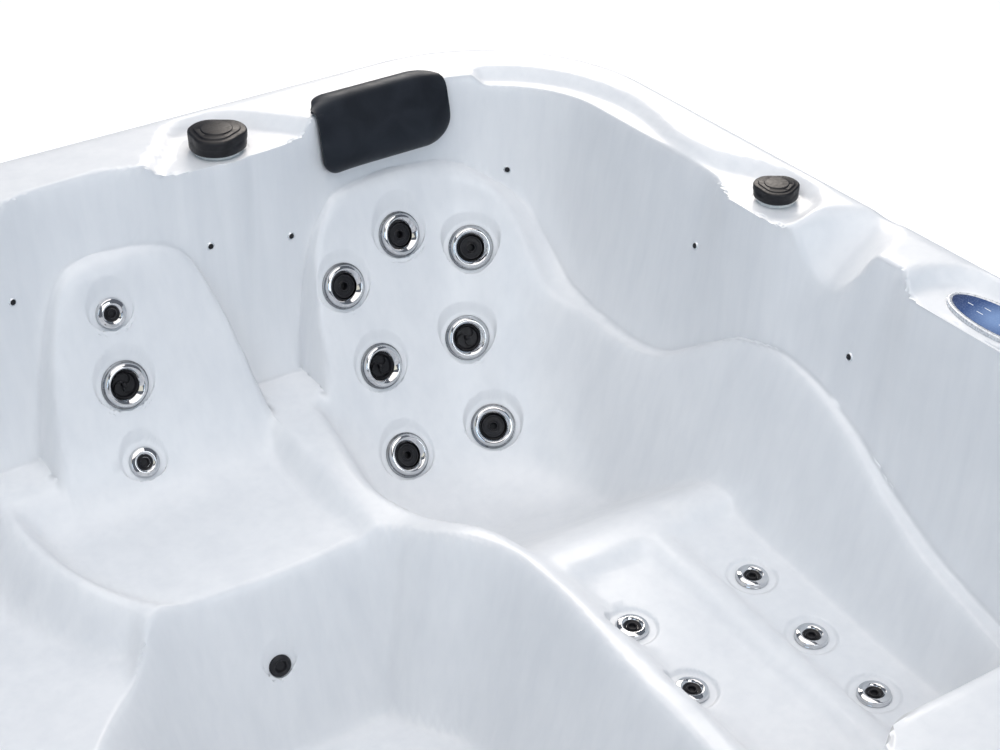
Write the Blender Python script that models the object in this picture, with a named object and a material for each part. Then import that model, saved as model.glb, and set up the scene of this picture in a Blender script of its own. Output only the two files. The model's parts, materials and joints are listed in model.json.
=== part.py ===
import math

import bmesh
import bpy
import numpy as np
from mathutils import Matrix, Vector
from mathutils.geometry import interpolate_bezier

# Overall sizes in metres. The back wall is at +Y, the lounge lies along the +X wall, the ground is Z = 0.
TUB_LENGTH = 2.10
TUB_WIDTH = 2.10
TUB_HEIGHT = 0.90
OUTER_CORNER = 0.34
CLEARANCE = 0.0003
OVERRUN = 0.004
WELD = 0.0001

# Shell
SHELL_THICK = 0.006
RIM_ROUND = 0.026
RIM_SKIRT = 0.030
BACK_RIM_WIDTH = 0.145
SIDE_RIM_WIDTH = 0.118
LIP_CORNER = 0.21
LIP_SOFT = 0.030
WALL_LEAN_share = 0.17
NOSE_BACK = 0.040
NOSE_SIDE = 0.034
NOSE_PANEL = 0.026
NOSE_DEPTH = 0.30
POCKET_DEPTH = 0.020
POCKET_SOFT = 0.010
POCKET_EDGE_SOFT = 0.006
POCKET_LEAN_share = 1.1
BENCH_DEPTH = 0.450
LEDGE_SOFT = 0.014
LEDGE_SLOPE_share = 0.25
LEDGE_START = 0.030
LEDGE_WIDTH = 0.050
ARCH_OFF_START = 0.20
ARCH_OFF_END = 0.26
SEAT_EDGE_SOFT = 0.030
CREST_SOFT = 0.026
SEAT_LEAN_share = 0.45

# Footwell
FOOTWELL_DEPTH = 0.780
FOOTWELL_LIP_DEPTH = 0.478
FOOTWELL_LEAN_share = 0.25
FOOTWELL_SOFT = 0.045
FOOTWELL_LIP_SOFT = 0.035

# Lounge
HIP_DEPTH = 0.640
LEG_GROOVE_DEPTH = 0.016
LEG_GROOVE_EDGE = 0.012
ARMREST_FACE_INSET = 0.186
ARMREST_FACE_DEPTH = 0.25
ARMREST_LEAN_share = 0.26
LOUNGE_CORNER = 0.20
LOUNGE_SOFT = 0.050

# Seats
SEAT_DEPTH = 0.490
ARCH_TOP_DEPTH = 0.112
ARCH_FALL = 0.40
ARCH_SOFT = 0.020
CORNER_SEAT_DEPTH = 0.540
FRONT_CORNER_SEAT_DEPTH = 0.510
FRONT_SEAT_DEPTH = 0.485
FILTER_SHELF_DEPTH = 0.290

# Grip scoop in the right rim
SCOOP_START = 0.020
SCOOP_FALL_share = 0.85
SCOOP_HALF = 0.072
SCOOP_DEPTH = 0.070
SCOOP_SOFT = 0.030
SCOOP_REACH = 0.170
SCOOP_END_share = 10.0

# Outlines of the moulded shapes, in shares of the half length and the half width.
DIVERTER_POCKET_shares = (
    (0.157, 0.762), (0.176, 0.862), (0.224, 0.900), (0.252, 0.952), (0.314, 0.970),
    (0.371, 0.957), (0.419, 0.905), (0.467, 0.852), (0.476, 0.762),
)
LEFT_POCKET_shares = (
    (-0.043, 0.762), (-0.043, 0.862), (-0.110, 0.900), (-0.138, 0.952), (-0.200, 0.970),
    (-0.257, 0.957), (-0.305, 0.905), (-0.352, 0.852), (-0.362, 0.762),
)
CORNER_POCKET_shares = (
    (0.762, 0.886), (0.838, 0.857), (0.900, 0.790), (0.938, 0.695), (0.943, 0.590), (0.912, 0.476),
    (0.919, 0.390), (0.957, 0.329), (0.973, 0.257), (0.962, 0.190), (0.886, 0.157), (0.810, 0.157),
    (0.762, 0.571),
)
PANEL_POCKET_shares = (
    (0.800, -0.048), (0.886, -0.043), (0.938, -0.052), (0.973, -0.086), (0.979, -0.152),
    (0.979, -0.314), (0.967, -0.352), (0.886, -0.376), (0.800, -0.376),
)
FOOTWELL_shares = (
    (-0.067, 0.419), (0.124, 0.389), (0.310, 0.405), (0.335, 0.310), (0.398, 0.224), (0.400, 0.086),
    (0.373, -0.114), (0.357, -0.400), (0.267, -0.476), (-0.286, -0.457), (-0.410, -0.343),
    (-0.400, 0.048), (-0.229, 0.286),
)
MIDDLE_SEAT_shares = (
    (-0.143, 0.819), (-0.157, 0.600), (-0.114, 0.476), (-0.038, 0.381), (0.152, 0.343),
    (0.300, 0.352), (0.286, 0.524), (0.276, 0.667), (0.276, 0.819),
)
CORNER_SEAT_shares = (
    (-0.167, 0.857), (-0.186, 0.629), (-0.143, 0.495), (-0.048, 0.381), (-0.286, 0.095),
    (-0.476, -0.057), (-0.905, -0.057), (-0.905, 0.857),
)
FRONT_CORNER_SEAT_shares = (
    (-0.905, -0.133), (-0.495, -0.133), (-0.362, -0.286), (-0.267, -0.381), (-0.286, -0.590),
    (-0.286, -0.886), (-0.905, -0.886),
)
FRONT_SEAT_shares = (
    (-0.190, -0.886), (-0.210, -0.571), (-0.171, -0.381), (0.286, -0.381), (0.343, -0.571),
    (0.343, -0.886),
)
LOUNGE_BED_shares = (
    (0.386, 0.905), (0.367, 0.667), (0.329, 0.514), (0.333, 0.452), (0.374, 0.348), (0.433, 0.257),
    (0.438, 0.095), (0.430, -0.114), (0.419, -0.381), (0.476, -0.410), (0.905, -0.410),
    (1.000, 0.190), (1.000, 0.905),
)
FILTER_SHELF_shares = (
    (0.419, -0.933), (0.414, -0.571), (0.457, -0.462), (0.905, -0.452), (1.000, -0.571), (1.000, -0.933),
)
LEG_GROOVE_shares = ((0.455, 0.592), (0.636, 0.762))
LEG_GROOVE_HEAD_share = 0.127

# Profiles: where along the half length or half width, and how deep as a share of the named depth.
BENCH_AT_shares = (-0.905, 0.286, 0.390, 0.571, 0.762)
BENCH_DEEP_shares = (0.969, 0.978, 1.027, 0.967, 0.922)
HEAD_AT_shares = (0.367, 0.405, 0.426, 0.452, 0.489, 0.602, 0.700, 0.801, 0.886)
HEAD_DEEP_shares = (0.703, 0.484, 0.336, 0.258, 0.203, 0.183, 0.211, 0.305, 0.406)
ARM_AT_shares = (
    -0.571, -0.438, -0.338, -0.242, -0.139, -0.030, 0.080, 0.147, 0.213, 0.303, 0.399, 0.476, 0.558,
    0.633, 0.705, 0.762, 0.819,
)
ARM_DEEP_shares = (
    0.656, 0.641, 0.598, 0.558, 0.492, 0.400, 0.342, 0.330, 0.348, 0.433, 0.520, 0.536, 0.528, 0.508,
    0.438, 0.352, 0.281,
)
CORNER_BLEND_shares = (-0.048, 0.152)
HEAD_LIMIT_shares = (0.343, 0.400)
SEAT_AT_shares = (
    0.343, 0.400, 0.476, 0.590, 0.633, 0.667, 0.700, 0.724, 0.752, 0.776, 0.798, 0.810, 0.827, 0.848,
)
SEAT_DEEP_shares = (
    0.992, 0.994, 1.000, 0.998, 0.986, 0.953, 0.886, 0.796, 0.649, 0.510, 0.378, 0.296, 0.249, 0.229,
)
BED_AT_shares = (-0.571, -0.286, 0.000, 0.095, 0.167, 0.229, 0.305, 0.390, 0.476, 0.571)
BED_DEEP_shares = (0.781, 0.769, 0.731, 0.716, 0.706, 0.753, 0.852, 0.953, 1.000, 1.000)
BACKREST_DEEP_shares = (
    0.078, 0.175, 0.191, 0.234, 0.312, 0.409, 0.633, 0.781, 0.875, 0.953, 1.000, 1.250,
)
BACKREST_AT_shares = (
    0.867, 0.848, 0.827, 0.811, 0.796, 0.770, 0.710, 0.667, 0.629, 0.581, 0.533, 0.381,
)
REACH_shares = (0.000, 0.043, 0.071, 0.095, 0.124, 0.181, 0.267, 0.952)
REACH_DEEP_shares = (0.000, 0.220, 0.385, 0.600, 0.785, 0.962, 1.000, 1.000)
MIDDLE_ARCH_share = 0.108
MIDDLE_ARCH_HALF_share = 0.190
LEFT_ARCH_shares = (0.400, -0.476)
LEFT_ARCH_HALF_shares = (0.257, 0.238)
FRONT_ARCH_share = 0.076
FRONT_ARCH_HALF_share = 0.210
NOSE_BACK_shares = (0.314, -0.205)
NOSE_BACK_HALF_share = 0.157
NOSE_SIDE_share = 0.243
NOSE_SIDE_HALF_share = 0.095
NOSE_PANEL_shares = (-0.019, -0.095, -0.371, -0.448)
SIDE_ONLY_shares = (0.476, 0.762)
SCOOP_share = 0.095
RIM_SLOPE_share = 0.72
SECTION_STEPS = 14

# Jets: places in shares of the half length and the half width.
LARGE_JET_shares = (
    (0.585, 0.790), (0.463, 0.768), (0.703, 0.754), (0.494, 0.709), (0.658, 0.699),
    (0.493, 0.634), (0.653, 0.615), (0.065, 0.756),
)
LARGE_JET_NAMES = (
    "lounge_top", "lounge_upper_left", "lounge_upper_right", "lounge_middle_left",
    "lounge_middle_right", "lounge_lower_left", "lounge_lower_right", "middle_seat",
)
SPINNING_JETS = ("lounge_middle_left", "lounge_middle_right", "middle_seat")
SMALL_JET_shares = (
    (0.072, 0.795), (0.060, 0.703), (0.688, -0.003), (0.680, -0.141), (0.676, -0.273),
    (0.473, 0.005), (0.468, -0.134),
)
SMALL_JET_NAMES = (
    "middle_seat_upper", "middle_seat_lower", "calf_right_1", "calf_right_2", "calf_right_3",
    "calf_left_1", "calf_left_2",
)
JET_RECESS = 0.0045
PAD_EDGE = 0.012
SLOPE_STEP = 0.004
JET_SIDES = 12
JET_WALL = 0.002
LARGE_PAD = 0.045
LARGE_RING = 0.040
LARGE_RING_HIGH = 0.012
LARGE_NECK = 0.0305
LARGE_NUT = 0.0368
LARGE_CUP_LONG = 0.054
SLEEVE_LONG = 0.014
BEZEL_WALL = 0.0025
BEZEL_FACE_share = 0.84
BALL_DROP = 0.010
BALL_FRONT = 0.013
BALL_BACK = 0.016
BALL_HOLE = 0.0085
BALL_STEPS = 3
TILT_ROOM = 0.0006
ROTOR_FRONT = 0.003
ROTOR_BACK = 0.020
ROTOR_HOLE = 0.0055
ROTOR_HOLE_share = 0.50
ROTOR_SIDES = 8
SMALL_PAD = 0.031
SMALL_RING = 0.0258
SMALL_RING_HIGH = 0.009
SMALL_NECK = 0.0165
SMALL_NUT = 0.0225
SMALL_CUP_LONG = 0.052
SMALL_SLEEVE_LONG = 0.016
SMALL_BORE = 0.0075
NUT_THICK = 0.009
SPREAD_share = 0.13
TURN_WEIGHT = 0.06
FILTER_SHELF_LEAN_share = 0.10

# Other fittings in the shell: places in shares of the half length and the half width.
SUCTION_share = (-0.100, -0.440)
LIGHT_share = (0.097, 0.363)
OZONE_share = (0.510, 0.502)
FILTER_share = (0.671, -0.690)
DIVERTER_share = (0.310, 0.871)
AIR_share = (0.912, 0.250)
PANEL_share = (0.917, -0.190)
GLOW_shares = (
    (-0.066, 0.827), (0.258, 0.819), (0.400, 0.819), (0.803, 0.791), (0.864, 0.368), (0.861, 0.018),
)
SUCTION_PAD = 0.058
LIGHT_PAD = 0.024
OZONE_PAD = 0.008
OZONE_RECESS = 0.001
FILTER_PAD = 0.125
DIVERTER_PAD = 0.056
AIR_PAD = 0.040
PANEL_PAD = 0.040
GLOW_PAD = 0.009
GLOW_RECESS = 0.0005

# Shell mesh
MOULD_FINE = 560
MOULD_LINES = 170
SHELL_FACES = 3400
SPOT_FACE = 0.0005
SPOT_MARGIN = 0.001
GASKET = 0.0030
RIM_GAP = 0.0007

# Cabinet
TRAY_INSET = 0.016
TRAY_HIGH = 0.040
TRAY_EDGE = 0.006
PLINTH_CENTRE_shares = (-0.010, -0.165)
PLINTH_LONG = 0.52
PLINTH_WIDE = 0.36
PLINTH_DRAFT = 0.030
SKIRT_INSET = 0.022
SKIRT_THICK = 0.018
SKIRT_TOP_DROP = 0.034
SKIRT_SEAM = 0.003
GROOVE_DEEP = 0.004
GROOVE_WIDE = 0.008
GROOVE_shares = (0.30, 0.55, 0.80)
FRAME_WIDE = 0.030
FRAME_HIGH = 0.030
FRAME_RAIL_DROP = 0.105
POST_WIDE = 0.045
POST_SHY = 0.002
BACK_POST_shares = (-0.590, 0.590)
FRONT_POST_shares = (-0.476, 0.590)
LEFT_POST_shares = (-0.476, 0.476)
RIGHT_POST_share = -0.590
RIGHT_SHORT_POST_share = 0.400

# Water system
PIPE = 0.022
FEED_PIPE = 0.018
PIPE_SIDES = 8
FEED_SIDES = 6
PIPE_BEND = 0.045
FEED_BEND = 0.030
COLLAR = 0.008
COLLAR_LONG = 0.026
RUN_Z = 0.105
RUN_START_share = -0.819
STUB_HIGH = 0.045
BACK_FEED_share = 0.705
SEAT_FEED_share = 0.073
PUMP_share = (-0.590, -0.762)
PUMP_Z = 0.160
MOTOR = 0.075
MOTOR_LONG = 0.290
MOTOR_FOOT = 0.110
MOTOR_FOOT_WIDE = 0.150
FIN_DEEP = 0.005
WET_END = 0.086
WET_END_LONG = 0.085
HEATER = 0.034
HEATER_LONG = 0.400
HEATER_Z = 0.330
CONTROL_BOX = (0.340, 0.085, 0.220)
CONTROL_share = (0.114, -0.886)
CONTROL_ROUND = 0.008
OZONE_BOX = (0.100, 0.050, 0.160)
OZONE_BOX_share = (0.352, -0.895)
GLAND = 0.011
GLAND_LONG = 0.018
FITTING_BACK = 0.062

# Wall fittings
SUCTION = 0.052
SUCTION_HIGH = 0.016
SUCTION_NECK = 0.030
SUCTION_NUT = 0.044
LIGHT = 0.0185
LIGHT_HIGH = 0.005
LIGHT_NECK = 0.0115
LIGHT_NUT = 0.019
LIGHT_BACK = 0.030
OZONE = 0.0042
OZONE_NUT = 0.0075
GLOW = 0.0055
GLOW_HIGH = 0.0022
GLOW_NUT = 0.0080
CABLE = 0.0030
CABLE_INSET = 0.090
CABLE_DROP = 0.160
DRAIN = 0.030
DRAIN_HIGH = 0.010
DRAIN_NECK = 0.019

# Filter
CANISTER = 0.100
CANISTER_WALL = 0.004
CANISTER_LONG = 0.390
CANISTER_FLANGE = 0.016
CANISTER_FLANGE_HIGH = 0.005
CARTRIDGE = 0.076
PLEAT_DEEP = 0.010
PLEATS = 16
CARTRIDGE_CAP = 0.014
LID = 0.113
LID_HIGH = 0.014
LID_GRIP = 0.012
LID_GRIP_WIDE = 0.022
LID_GRIP_LONG = 0.130

# Valves and their caps in the rim
DIVERTER_BODY = 0.040
DIVERTER_BODY_LONG = 0.070
DIVERTER_NECK = 0.030
DIVERTER_CAP = 0.050
DIVERTER_CAP_HIGH = 0.040
AIR_BODY = 0.028
AIR_BODY_LONG = 0.045
AIR_NECK = 0.018
AIR_CAP = 0.037
AIR_CAP_HIGH = 0.030
VALVE_STEM = 0.008
VALVE_STEM_HIGH = 0.014
CAP_LOBES = 3
CAP_LOBE_share = 0.13
CAP_POWER = 2.0
CAP_TURN = math.radians(65.0)
CAP_SIDES = 24

# Pillow
PILLOW_share = 0.584
PILLOW_HALF = 0.134
PILLOW_TOP_share = 0.921
PILLOW_LOW_DEPTH = 0.092
PILLOW_THICK = 0.030
PILLOW_EDGE = 0.006
PILLOW_GAP = 0.0053
PILLOW_ROWS = 15
PILLOW_COLUMNS = 13
PILLOW_CORNER_POWER = 5.0
PILLOW_CROWN_POWER = 4.0

# Touch panel
PANEL_HALF_LONG = 0.094
PANEL_HALF_WIDE = 0.040
PANEL_HIGH = 0.006
PANEL_BODY_share = 0.82
PANEL_BODY_LONG = 0.030
PANEL_LEDGE = 0.008
SCREEN_THICK = 0.002
PANEL_SIDES = 24
BUTTON_HALF_LONG = 0.007
BUTTON_HALF_WIDE = 0.003
BUTTON_PROUD = 0.0008
BUTTON_LONG = 0.0040
BUTTON_TRAVEL = 0.0008
BUTTON_SHIFT = 0.045
PANEL_SPIN = math.pi / 2.0
ROTOR_SLANT = math.radians(14.0)
ROTOR_OUTLETS = 3
ROTOR_CUT = 0.035
CUT_REACH = 0.020
BEND_POINTS = 3
CORNER_STEPS = 6
SMALL_SIDES = 6
FILTER_SIDES = 20
STRAIGHT = math.radians(87.0)

HALF_LENGTH = TUB_LENGTH / 2
HALF_WIDTH = TUB_WIDTH / 2


def blend(t):
    t = np.clip(t, 0.0, 1.0)
    return t * t * (3.0 - 2.0 * t)


def ramp(value, start, end):
    return blend((value - start) / (end - start))


def bump(value, middle, half):
    return np.exp(-(((value - middle) / half) ** 4))


def deeper(a, b, soft):
    """The deeper of two surfaces, rounded where they cross."""
    h = np.clip(0.5 + 0.5 * (a - b) / soft, 0.0, 1.0)
    return b + (a - b) * h + soft * h * (1.0 - h)


def shallower(a, b, soft):
    return -deeper(-a, -b, soft)


def curve(value, knots, heights):
    """A smooth line through the knots that never overshoots them."""
    knots = np.asarray(knots, float)
    heights = np.asarray(heights, float)
    step = np.diff(knots)
    slope = np.diff(heights) / step
    both = slope[:-1] + slope[1:]
    turning = slope[:-1] * slope[1:] > 0.0
    inner = np.where(turning, 2.0 * slope[:-1] * slope[1:] / np.where(turning, both, 1.0), 0.0)
    ends = np.concatenate([[slope[0]], inner, [slope[-1]]])
    value = np.clip(value, knots[0], knots[-1])
    at = np.clip(np.searchsorted(knots, value, side="right") - 1, 0, len(step) - 1)
    t = (value - knots[at]) / step[at]
    line = heights[at] * (1.0 + 2.0 * t) * (1.0 - t) ** 2 + heights[at + 1] * t * t * (3.0 - 2.0 * t)
    return line + step[at] * (ends[at] * t * (1.0 - t) ** 2 - ends[at + 1] * t * t * (1.0 - t))


def rounded_box(x, y, half_x, half_y, corner):
    """Signed distance to a rounded rectangle, less than zero inside it."""
    qx = np.abs(x) - (half_x - corner)
    qy = np.abs(y) - (half_y - corner)
    outside = np.hypot(np.maximum(qx, 0.0), np.maximum(qy, 0.0))
    return outside + np.minimum(np.maximum(qx, qy), 0.0) - corner


def outline(shares):
    """A closed outline in metres, with its corners cut back twice."""
    points = np.asarray(shares, float) * (HALF_LENGTH, HALF_WIDTH)
    for _ in range(2):
        after = np.roll(points, -1, axis=0)
        points = np.stack([points * 0.75 + after * 0.25, points * 0.25 + after * 0.75], 1).reshape(-1, 2)
    return points


def outline_distance(x, y, points):
    """Signed distance to a closed outline, less than zero inside it."""
    near = np.full(np.shape(x), np.inf)
    inside = np.zeros(np.shape(x), bool)
    for (ax, ay), (bx, by) in zip(points, np.roll(points, -1, axis=0)):
        ex, ey = bx - ax, by - ay
        t = np.clip(((x - ax) * ex + (y - ay) * ey) / (ex * ex + ey * ey), 0.0, 1.0)
        near = np.minimum(near, (x - ax - t * ex) ** 2 + (y - ay - t * ey) ** 2)
        if ay != by:
            inside ^= ((ay > y) != (by > y)) & (x < ax + (y - ay) * ex / ey)
    near = np.sqrt(near)
    return np.where(inside, -near, near)


POCKETS = [
    outline(shares)
    for shares in (DIVERTER_POCKET_shares, LEFT_POCKET_shares, CORNER_POCKET_shares, PANEL_POCKET_shares)
]
FOOTWELL = outline(FOOTWELL_shares)
MIDDLE_SEAT = outline(MIDDLE_SEAT_shares)
CORNER_SEAT = outline(CORNER_SEAT_shares)
FRONT_CORNER_SEAT = outline(FRONT_CORNER_SEAT_shares)
FRONT_SEAT = outline(FRONT_SEAT_shares)
LOUNGE_BED = outline(LOUNGE_BED_shares)
FILTER_SHELF = outline(FILTER_SHELF_shares)


def upper_wall(u, v, x, y):
    """Depth of the outer wall, whose lip stands further in where a control sits in the rim."""
    inside = -rounded_box(x, y, HALF_LENGTH - SIDE_RIM_WIDTH, HALF_WIDTH - BACK_RIM_WIDTH, LIP_CORNER)
    back = ramp(v, *SIDE_ONLY_shares)
    right = ramp(u, *SIDE_ONLY_shares)
    nose = 0.0 * x
    for middle in NOSE_BACK_shares:
        nose = nose + back * NOSE_BACK * bump(u, middle, NOSE_BACK_HALF_share)
    nose = nose + right * NOSE_SIDE * bump(v, NOSE_SIDE_share, NOSE_SIDE_HALF_share)
    start, full, still, end = NOSE_PANEL_shares
    nose = nose + right * NOSE_PANEL * ramp(v, start, full) * ramp(v, end, still)
    lip = (inside - nose) / (WALL_LEAN_share - nose / NOSE_DEPTH)
    return np.where(lip < NOSE_DEPTH, lip, inside / WALL_LEAN_share), inside


def arch(value, middle, half):
    return ARCH_TOP_DEPTH + ARCH_FALL * (np.abs(value - middle) / half) ** 4


def cap_depth(u, v, inside):
    """How deep the outer wall runs before the arched backrests and the armrest stand out from it."""
    off = ramp(inside, ARCH_OFF_START, ARCH_OFF_END) * FOOTWELL_DEPTH
    bench = BENCH_DEPTH * curve(v, BENCH_AT_shares, BENCH_DEEP_shares)
    head = HIP_DEPTH * curve(u, HEAD_AT_shares, HEAD_DEEP_shares)
    arm = HIP_DEPTH * curve(v, ARM_AT_shares, ARM_DEEP_shares)
    lounge = head + (arm - head) * ramp(u - v, *CORNER_BLEND_shares)
    lounge = lounge + FOOTWELL_DEPTH * ramp(-u, -HEAD_LIMIT_shares[1], -HEAD_LIMIT_shares[0])
    seen = shallower(arch(u, MIDDLE_ARCH_share, MIDDLE_ARCH_HALF_share), lounge, ARCH_SOFT)
    left = arch(v, LEFT_ARCH_shares[0], LEFT_ARCH_HALF_shares[0])
    left = shallower(left, arch(v, LEFT_ARCH_shares[1], LEFT_ARCH_HALF_shares[1]), ARCH_SOFT)
    front = arch(u, FRONT_ARCH_share, FRONT_ARCH_HALF_share)
    across = np.where(u < 0.0, left, seen)
    along = np.where(v < 0.0, front, seen)
    wall = np.where(np.abs(u) > np.abs(v), across, along)
    return shallower(wall + off, bench, ARCH_SOFT)


def lounge_wall(x, y):
    """Depth of the backrest and the armrest's face, which meet in one rounded corner."""
    low = np.zeros(np.shape(x))
    high = np.full(np.shape(x), FOOTWELL_DEPTH)
    for _ in range(SECTION_STEPS):
        deep = 0.5 * (low + high)
        behind = HALF_WIDTH * curve(deep / HIP_DEPTH, BACKREST_DEEP_shares, BACKREST_AT_shares)
        aside = HALF_LENGTH - ARMREST_FACE_INSET + (ARMREST_FACE_DEPTH - deep) * ARMREST_LEAN_share
        from_back = np.maximum(LOUNGE_CORNER - (behind - y), 0.0)
        from_side = np.maximum(LOUNGE_CORNER - (aside - x), 0.0)
        room = LOUNGE_CORNER > np.hypot(from_back, from_side)
        low = np.where(room, deep, low)
        high = np.where(room, high, deep)
    return 0.5 * (low + high)


def within(surface, x, y, points):
    """A seat's surface, closed in by the sides of its outline."""
    sides = BENCH_DEPTH - outline_distance(x, y, points) / SEAT_LEAN_share
    return shallower(surface, sides, SEAT_EDGE_SOFT)


def mould(x, y):
    """Depth below the rim of the moulded inside, before the jets' flat pads."""
    u = x / HALF_LENGTH
    v = y / HALF_WIDTH
    wall, inside = upper_wall(u, v, x, y)
    ledge = LEDGE_SLOPE_share * np.clip(inside - LEDGE_START, 0.0, LEDGE_WIDTH)
    deep = shallower(wall, cap_depth(u, v, inside) + ledge, LEDGE_SOFT)
    shelf = np.maximum(outline_distance(x, y, FILTER_SHELF), 0.0)
    deep = shallower(deep, FILTER_SHELF_DEPTH + shelf / FILTER_SHELF_LEAN_share, ARCH_SOFT)

    seat = SEAT_DEPTH * curve(v, SEAT_AT_shares, SEAT_DEEP_shares)
    deep = deeper(deep, within(seat, x, y, MIDDLE_SEAT), CREST_SOFT)

    bed = HIP_DEPTH * curve(v, BED_AT_shares, BED_DEEP_shares)
    edge = LEG_GROOVE_EDGE / HALF_LENGTH
    for left_side, right_side in LEG_GROOVE_shares:
        across = ramp(u, left_side - edge, left_side + edge) * ramp(-u, -right_side - edge, edge - right_side)
        along = ramp(-v, -LEG_GROOVE_HEAD_share - edge, edge - LEG_GROOVE_HEAD_share)
        bed = bed + LEG_GROOVE_DEPTH * across * along
    bed = shallower(bed, lounge_wall(x, y), LOUNGE_SOFT)
    deep = deeper(deep, within(bed, x, y, LOUNGE_BED), CREST_SOFT)

    reach = np.clip(inside, 0.0, HALF_WIDTH) / HALF_WIDTH
    for depth, points in (
        (CORNER_SEAT_DEPTH, CORNER_SEAT),
        (FRONT_CORNER_SEAT_DEPTH, FRONT_CORNER_SEAT),
        (FRONT_SEAT_DEPTH, FRONT_SEAT),
    ):
        seat = depth * curve(reach, REACH_shares, REACH_DEEP_shares)
        deep = deeper(deep, within(seat, x, y, points), CREST_SOFT)

    well = FOOTWELL_LIP_DEPTH - outline_distance(x, y, FOOTWELL) / FOOTWELL_LEAN_share
    well = shallower(well, FOOTWELL_DEPTH + 0.0 * x, FOOTWELL_SOFT)
    deep = deeper(deep, well, FOOTWELL_LIP_SOFT)
    deep = shallower(deep, wall, POCKET_SOFT)

    rim = 0.0 * x
    for points in POCKETS:
        sunk = -outline_distance(x, y, points) * POCKET_LEAN_share
        rim = deeper(rim, shallower(sunk, POCKET_DEPTH + 0.0 * x, POCKET_SOFT), POCKET_EDGE_SOFT)
    scoop = (HALF_LENGTH - SCOOP_START - x) * SCOOP_FALL_share
    scoop = scoop - SCOOP_DEPTH * ((v - SCOOP_share) * HALF_WIDTH / SCOOP_HALF) ** 2
    scoop = scoop - SCOOP_END_share * np.clip(HALF_LENGTH - x - SCOOP_REACH, 0.0, TUB_LENGTH)
    rim = deeper(rim, scoop, SCOOP_SOFT)
    return deeper(rim, deep, LIP_SOFT)


class Seat:
    """A flat round place in the mould, with its centre on the pad and its axis out of the wall."""

    def __init__(self, share, radius, recess=JET_RECESS):
        x, y = share[0] * HALF_LENGTH, share[1] * HALF_WIDTH
        grid = np.array([(0, 0), (1, 0), (-1, 0), (0, 1), (0, -1)], float) * SLOPE_STEP
        here, right, left, back, front = mould(x + grid[:, 0], y + grid[:, 1])
        self.slope = np.array([right - left, back - front]) / (2.0 * SLOPE_STEP)
        self.axis = np.array([self.slope[0], self.slope[1], 1.0])
        self.axis /= np.linalg.norm(self.axis)
        self.x, self.y, self.radius = x, y, radius
        self.depth = here + recess / self.axis[2]
        self.centre = np.array([x, y, TUB_HEIGHT - self.depth])

    def flatten(self, deep, x, y):
        flat = self.depth + self.slope[0] * (x - self.x) + self.slope[1] * (y - self.y)
        away = np.stack([x - self.x, y - self.y, self.depth - flat], -1)
        away = np.sqrt((away**2).sum(-1))
        near = ramp(-away, -self.radius - PAD_EDGE, -self.radius)
        return deep + (flat - deep) * near

    def matrix(self, spin=0.0):
        turn = Vector(self.axis).to_track_quat("Z", "Y").to_matrix().to_4x4()
        return Matrix.Translation(Vector(self.centre)) @ turn @ Matrix.Rotation(spin, 4, "Z")


LARGE_JETS = [Seat(share, LARGE_PAD) for share in LARGE_JET_shares]
SMALL_JETS = [Seat(share, SMALL_PAD) for share in SMALL_JET_shares]
SUCTION_SEAT = Seat(SUCTION_share, SUCTION_PAD)
LIGHT_SEAT = Seat(LIGHT_share, LIGHT_PAD)
OZONE_SEAT = Seat(OZONE_share, OZONE_PAD, OZONE_RECESS)
FILTER_SEAT = Seat(FILTER_share, FILTER_PAD, 0.0)
DIVERTER_SEAT = Seat(DIVERTER_share, DIVERTER_PAD, 0.0)
AIR_SEAT = Seat(AIR_share, AIR_PAD, 0.0)
PANEL_SEAT = Seat(PANEL_share, PANEL_PAD, 0.0)
GLOW_SEATS = [Seat(share, GLOW_PAD, GLOW_RECESS) for share in GLOW_shares]
ALL_SEATS = LARGE_JETS + SMALL_JETS + GLOW_SEATS + [
    SUCTION_SEAT, LIGHT_SEAT, OZONE_SEAT, FILTER_SEAT, DIVERTER_SEAT, AIR_SEAT, PANEL_SEAT,
]


def surface_depth(x, y):
    """Depth of the finished inside, with the pads and the rounded outer rim."""
    deep = mould(x, y)
    for seat in ALL_SEATS:
        deep = seat.flatten(deep, x, y)
    edge = np.clip(RIM_ROUND + rounded_box(x, y, HALF_LENGTH, HALF_WIDTH, OUTER_CORNER), 0.0, RIM_ROUND)
    return deep + RIM_ROUND - np.sqrt(RIM_ROUND**2 - edge**2)


def to_plan(u, v):
    """Bends a square grid into the tub's outline with its rounded corners."""
    reach_x, reach_y = HALF_LENGTH - OUTER_CORNER, HALF_WIDTH - OUTER_CORNER
    cu = np.clip((np.abs(u) - reach_x) / OUTER_CORNER, 0.0, 1.0)
    cv = np.clip((np.abs(v) - reach_y) / OUTER_CORNER, 0.0, 1.0)
    corner = (cu > 0.0) & (cv > 0.0)
    x = np.sign(u) * (reach_x + OUTER_CORNER * cu * np.sqrt(1.0 - cv * cv / 2.0))
    y = np.sign(v) * (reach_y + OUTER_CORNER * cv * np.sqrt(1.0 - cu * cu / 2.0))
    return np.where(corner, x, u), np.where(corner, y, v)


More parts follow.
